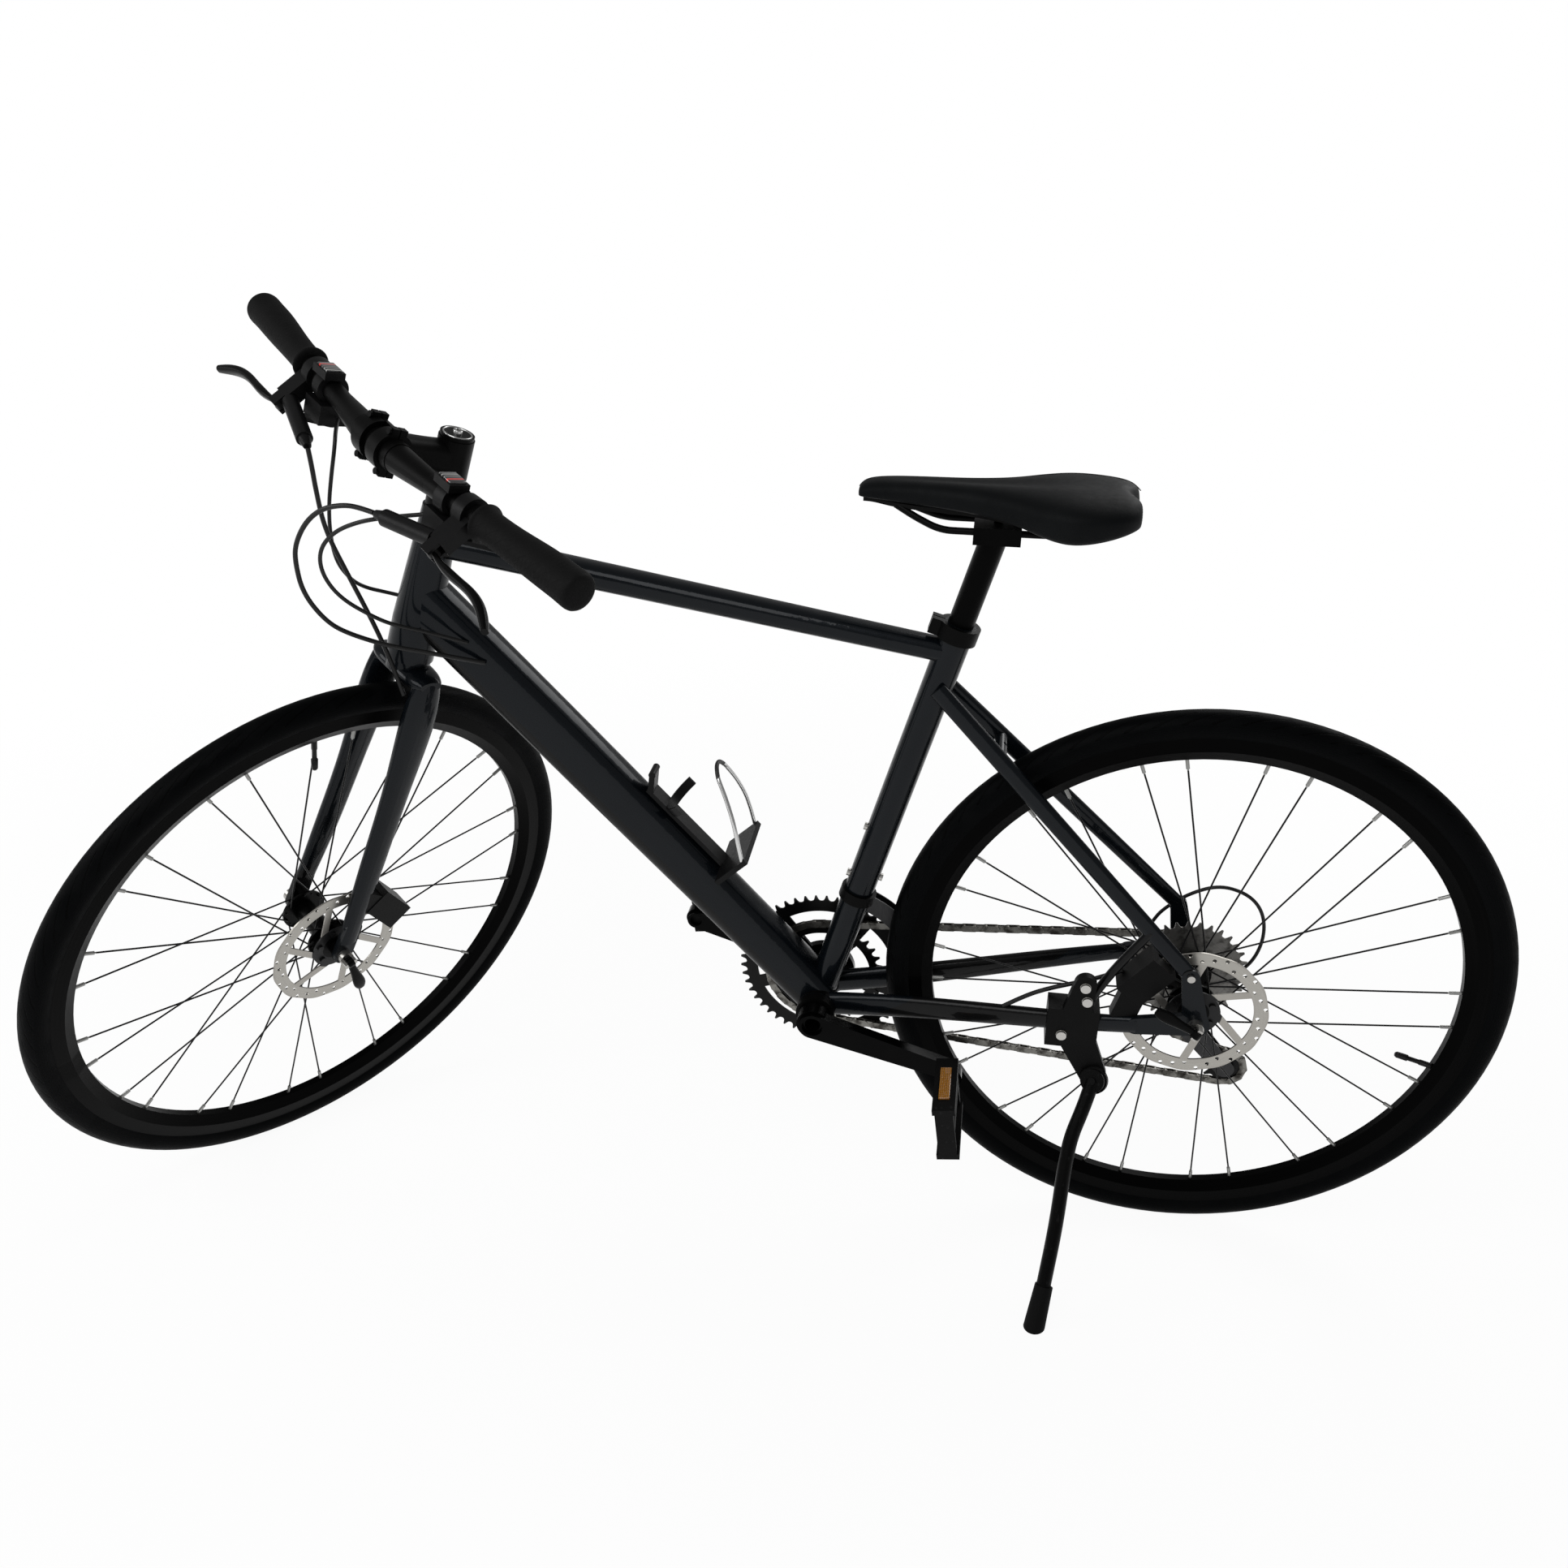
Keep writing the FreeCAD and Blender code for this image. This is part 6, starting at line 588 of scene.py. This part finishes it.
for name, place in (("front", FRONT), ("rear", UPRIGHT)):
    tyre, spot = finish(name + "_tyre_rubber")
    far, angle, side = wheel_signals(spot, place)
    off = side.maths("ABSOLUTE")
    tread = step(far, TREAD_START, TREAD_START + SOFT_EDGE)
    shaded_cuts = step((angle * 72.0 + off * 900.0).maths("SINE"), 0.82, 0.93) * step(off, 0.0035, 0.0045) * tread
    sidewall = (1 - tread) * step(far, SIDEWALL_START, SIDEWALL_START + SOFT_EDGE)
    ring_lines = step((far * 2600.0).maths("SINE"), 0.55, 0.9) * sidewall
    dusty = step(grain(spot, 38.0, 7), 0.42, 0.75)
    # The cut grooves are painted darker than the rubber around them: painted shade in the grooves.
    colour = tinted(shaded_cuts, (0.0013, 0.0015, 0.0017), (0.0006,) * 3)
    surface(spot, {
        "Base Color": tinted(dusty * 0.6, colour, (0.0034, 0.0036, 0.0037)), "Specular IOR Level": 0.025,
        "Roughness": dusty * 0.15 + 0.5 - tread * 0.06,
        "Normal": dents(grain(spot, 700.0, 3) * 0.25 + ring_lines * 0.35 - shaded_cuts, 0.7, 0.0012)})
    dress(tyre, name + "_tyre")

    rim, spot = finish(name + "_rim_black")
    far, angle, side = wheel_signals(spot, place)
    turned_lines = brushed(spot, far * 900.0, angle * 0.6, side * 900.0, 2)
    joint_line = step((angle * 0.5).maths("COSINE"), 0.9996, 0.9998)
    surface(spot, {
        "Base Color": tinted(turned_lines, *greys(0.0008, 0.0018)), "Metallic": 0.5, "Specular IOR Level": 0.03,
        "Roughness": turned_lines * 0.12 + 0.26 + joint_line * 0.2,
        "Normal": dents(turned_lines - joint_line, 0.08, 0.0005)})
    dress(rim, name + "_rim")

    spoke, spot = finish(name + "_spoke_black")
    far, angle, side = wheel_signals(spot, place)
    nipple = step(far, NIPPLE_START, NIPPLE_START + SOFT_EDGE)
    surface(spot, {
        "Base Color": tinted(nipple, tinted(grain(spot, 80.0), *greys(0.005, 0.01)), (0.3, 0.3, 0.29)),
        "Metallic": 0.8, "Roughness": grain(spot, 200.0) * 0.1 + 0.3})
    dress(spoke, name + "_spokes")

    hub, spot = finish(name + "_hub_black")
    far, angle, side = wheel_signals(spot, place)
    lathe = brushed(spot, side * 1400.0, angle * 0.4, far * 900.0, 2)
    surface(spot, {
        "Base Color": tinted(lathe, *greys(0.002, 0.005)), "Metallic": 0.6, "Specular IOR Level": 0.08,
        "Roughness": lathe * 0.15 + 0.25, "Normal": dents(lathe, 0.1, 0.0004)})
    dress(hub, name + "_hub")

    rotor, spot = finish(name + "_rotor_steel")
    far, angle, side = wheel_signals(spot, place)
    sweep = brushed(spot, far * 2400.0, angle * 2.0, 0.0, 3)
    track = (step(far, TRACK_INNER, TRACK_INNER + SOFT_EDGE)
             * (1 - step(far, TRACK_OUTER, TRACK_OUTER + SOFT_EDGE)))
    carrier = 1 - step(far, CARRIER_OUTER, CARRIER_OUTER + SOFT_EDGE)
    arms = tinted(sweep, (0.3, 0.285, 0.26), (0.4, 0.385, 0.355))
    swept = tinted(sweep, (0.3, 0.29, 0.265), (0.46, 0.445, 0.41))
    surface(spot, {
        "Base Color": tinted(carrier, tinted(track, arms, swept), (0.01, 0.01, 0.0105)),
        "Metallic": 0.9 - carrier * 0.3, "Roughness": sweep * 0.16 + 0.24 + carrier * 0.1,
        "Normal": dents(sweep, 0.1, 0.0004)})
    dress(rotor, name + "_rotor")

valve_metal, spot = finish("valve_metal")
thread = (reach(spot, (0.2, 0.1, 1)) * 5200.0).maths("SINE")
surface(spot, {"Base Color": tinted(grain(spot, 90.0), *greys(0.008, 0.02)), "Metallic": 0.7, "Specular IOR Level": 0.2,
               "Roughness": grain(spot, 300.0) * 0.15 + 0.25, "Normal": dents(thread, 0.3, 0.0005)})
valve_outline = ((0.0033, 0.0), (0.0033, 0.0135), (0.0027, 0.0137), (0.0027, 0.028), (0.0038, 0.0285),
                 (0.0036, 0.0405), (0.0024, 0.0425), (0.0, 0.0428))
for name, body, place, degrees in (
    ("front_valve", "front_wheel", FRONT, 97.8),
    ("rear_valve", "rear_wheel", UPRIGHT, 196.0),
):
    valve = lathed(valve_outline, 16)
    inward = Vector((-math.cos(math.radians(degrees)), 0, -math.sin(math.radians(degrees))))
    valve.transform(place @ Matrix.Translation(inward * -VALVE_START) @ facing(inward))
    valve_piece = formed(name, valve, valve_metal)
    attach(valve_piece, body)

# Brake calipers: two-piece alloy castings, painted black, bolted to the fork leg and inside the rear triangle.
# The rear derailleur's body, link and lower knuckle are cast in the same way.
cast_black, spot = finish("cast_black")
pitted = grain(spot, 520.0, 4)
surface(spot, {"Base Color": tinted(grain(spot, 40.0), *greys(0.002, 0.0045)), "Metallic": 0.2,
               "Specular IOR Level": 0.08, "Roughness": pitted * 0.2 + 0.35, "Normal": dents(pitted, 0.25, 0.0005)})
dress(cast_black, "front_brake_caliper", "rear_brake_caliper", "rear_derailleur_knuckle", "rear_derailleur_link",
      "rear_derailleur_p_knuckle")

# The drive: forged black cranks, grey chainrings with a worn edge, an oiled steel chain and a ten-speed cassette.
# Turned faces are brushed round the axle, and grime lies between the sprockets.
CRANK = UPRIGHT @ Matrix.Translation(CRANK_AXIS)
ring_grey, spot = finish("ring_grey")
far, angle, side = wheel_signals(spot, CRANK)
sweep = brushed(spot, far * 1500.0, angle * 1.5, 0.0, 3)
bare = step(far, 0.0985, 0.1035)
surface(spot, {"Base Color": tinted(bare * 0.6, tinted(sweep, *greys(0.006, 0.014)), (0.06, 0.06, 0.059)),
               "Metallic": 0.75, "Specular IOR Level": 0.2, "Roughness": sweep * 0.15 + 0.26,
               "Normal": dents(sweep, 0.1, 0.0004)})
dress(ring_grey, "chainrings")
dress(black_alloy("crank_black", 0.0024, 0.2, 0.6), "left_crank", "right_crank")
chain_steel, spot = finish("chain_steel")
oil = step(grain(spot, 90.0, 6), 0.38, 0.68)
surface(spot, {"Base Color": tinted(oil, (0.2, 0.195, 0.18), (0.035, 0.032, 0.028)), "Metallic": 0.9,
               "Roughness": grain(spot, 400.0) * 0.2 + 0.22 + oil * 0.1,
               "Normal": dents(grain(spot, 900.0), 0.12, 0.0003)})
dress(chain_steel, "chain")
cog_steel, spot = finish("cog_steel")
far, angle, side = wheel_signals(spot, UPRIGHT)
sweep = brushed(spot, far * 1800.0, angle * 1.5, side * 300.0, 3)
grime = step(grain(spot, 110.0, 6), 0.45, 0.72)
clean = tinted(sweep, (0.09, 0.088, 0.084), (0.2, 0.195, 0.185))
surface(spot, {"Base Color": tinted(grime * 0.8, clean, (0.025, 0.023, 0.02)), "Metallic": 0.9,
               "Roughness": sweep * 0.16 + 0.28, "Normal": dents(sweep, 0.1, 0.0004)})
dress(cog_steel, "cassette")

# Derailleurs: cages of dark pressed steel with fine drawing marks, and two black moulded pulleys.
# The body and its link are dressed with the calipers.
cage_steel, spot = finish("cage_steel")
drawn = grain(spot.node("Mapping", {}, {"Vector": spot, "Scale": (900.0, 900.0, 60.0)}), 1.0, 2)
surface(spot, {"Base Color": tinted(drawn, (0.02, 0.02, 0.021), (0.05, 0.05, 0.051)), "Metallic": 0.85,
               "Roughness": drawn * 0.15 + 0.25, "Normal": dents(drawn, 0.08, 0.0003)})
dress(cage_steel, "front_derailleur_cage", "rear_derailleur_cage")
dress(moulded_black, "upper_pulley", "lower_pulley")

# Pedals: moulded cages on a steel axle, with an amber reflector let into each of the two treads.
# The reflectors are ribbed inside in two directions and turn with their pedal.
CRANK_WAY, CRANK_LENGTH, PEDAL_TILT = Vector((0.961262, 0, 0.275637)), 0.168, math.radians(8)
REFLECTOR_SIZE, REFLECTOR_EDGE, REFLECTOR_OUT, REFLECTOR_UP = (0.0125, 0.052, 0.0032), 0.001, 0.128, 0.0352
pedal_black, spot = finish("pedal_black")
scraped = step(grain(spot, 170.0, 8), 0.6, 0.72)
colour = tinted(grain(spot, 30.0), *greys(0.002, 0.0042))
surface(spot, {"Base Color": tinted(scraped * 0.5, colour, (0.018, 0.018, 0.018)), "Specular IOR Level": 0.08,
               "Roughness": grain(spot, 260.0) * 0.2 + 0.42,
               "Normal": dents(grain(spot, 800.0) - scraped * 0.5, 0.25, 0.0005)})
dress(pedal_black, "left_pedal", "right_pedal")
amber, spot = finish("amber_reflector")
own = seen_from(spot, UPRIGHT)
cells = (reach(own, (1, 1, 0)) * 1500.0).maths("SINE") * (reach(own, (1, -1, 0)) * 1500.0).maths("SINE")
surface(spot, {"Base Color": tinted(step(cells, -0.4, 0.6), (0.2, 0.07, 0.004), (0.4, 0.17, 0.01)),
               "Roughness": step(cells, -0.5, 0.5) * 0.1 + 0.1, "Coat Weight": 1.0, "Coat Roughness": 0.04,
               "Normal": dents(cells, 0.5, 0.0008)})
for side, body in ((1, "left_pedal"), (-1, "right_pedal")):
    axle = CRANK_AXIS - CRANK_WAY * (CRANK_LENGTH * side)
    pedal = UPRIGHT @ Matrix.Translation(axle) @ Matrix.Rotation(PEDAL_TILT, 4, "Y")
    for up, tread_name in ((1, "_reflector_upper"), (-1, "_reflector_lower")):
        reflector = rounded_box(REFLECTOR_SIZE, REFLECTOR_EDGE, 2)
        reflector.transform(pedal @ Matrix.Translation((0, side * REFLECTOR_OUT, up * REFLECTOR_UP)))
        reflector_piece = formed(body + tread_name, reflector, amber, smooth=False)
        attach(reflector_piece, body)

# The kickstand: a cast clamp on the left chainstay with bright screws, an alloy leg and a rubber foot.
# The leg has fine scratches along it.
SCREW_RADIUS, FOOT_HEIGHT = 0.0058, 0.0455
stand_black, spot = finish("stand_black")
own = seen_from(spot, UPRIGHT)
upper, middle, lower = (
    1 - step(own.node("VectorMath", {"operation": "DISTANCE"}, {0: own, 1: centre}, "Value"),
             SCREW_RADIUS, SCREW_RADIUS + 0.0003)
    for centre in ((0.121, 0.0785, 0.038), (0.1174, 0.0785, 0.02), (0.1408, 0.0785, -0.028)))
screw = upper.maths("MAXIMUM", middle).maths("MAXIMUM", lower)
cast = grain(spot, 480.0, 4)
surface(spot, {"Base Color": tinted(screw, tinted(grain(spot, 40.0), *greys(0.0018, 0.0042)), (0.5, 0.49, 0.47)),
               "Specular IOR Level": 0.08, "Metallic": screw * 0.7 + 0.2,
               "Roughness": cast * 0.2 + 0.34 - screw * 0.1, "Normal": dents(cast, 0.2, 0.0005)})
dress(stand_black, "kickstand_mount")
leg_black, spot = finish("stand_leg_black")
rubber_foot = 1 - step(reach(spot, UP), FOOT_HEIGHT, FOOT_HEIGHT + 0.0005)
scratch = step(grain(spot.node("Mapping", {}, {"Vector": spot, "Scale": (300.0, 300.0, 30.0)}), 1.0, 6), 0.6, 0.7)
surface(spot, {"Base Color": tinted(rubber_foot, tinted(scratch * 0.4, *greys(0.0024, 0.018)), (0.003,) * 3),
               "Specular IOR Level": 0.08, "Metallic": 0.4 - rubber_foot * 0.4,
               "Roughness": rubber_foot * 0.3 + 0.34 + grain(spot, 200.0) * 0.1,
               "Normal": dents(grain(spot, 700.0), 0.15, 0.0004)})
dress(leg_black, "kickstand_leg")

# The bottle cage: moulded black spine and shelf, with a loop of bare bent wire to hold the bottle.
# A black sleeve covers the wire's upper end.
SLEEVE_START = 0.531
dress(moulded_black, "bottle_cage")
bright_wire, spot = finish("bright_wire")
drawn = grain(spot, 260.0, 4)
sleeve = step(reach(seen_from(spot, UPRIGHT), DOWN_WAY), SLEEVE_START, SLEEVE_START + SOFT_EDGE)
bare = tinted(drawn, (0.55, 0.55, 0.55), (0.72, 0.72, 0.71))
surface(spot, {"Base Color": tinted(sleeve, bare, (0.006, 0.006, 0.006)), "Metallic": 1 - sleeve,
               "Roughness": drawn * 0.12 + 0.16 + sleeve * 0.3, "Normal": dents(drawn, 0.06, 0.0003)})
dress(bright_wire, "bottle_cage_wire")

# Axles, nuts and screws: plated steel with a little tarnish.
# The quick-release levers are black alloy.
plated, spot = finish("plated_steel")
tarnish = grain(spot, 150.0, 5)
surface(spot, {"Base Color": tinted(tarnish, (0.34, 0.33, 0.31), (0.52, 0.51, 0.49)), "Metallic": 0.95,
               "Roughness": tarnish * 0.2 + 0.2, "Normal": dents(grain(spot, 600.0), 0.08, 0.0003)})
dress(plated, "frame_bolts", "front_axle_set")
dress(black_alloy("quick_release_black", 0.0035, 0.32, 0.8), "front_qr_lever", "rear_qr_lever")
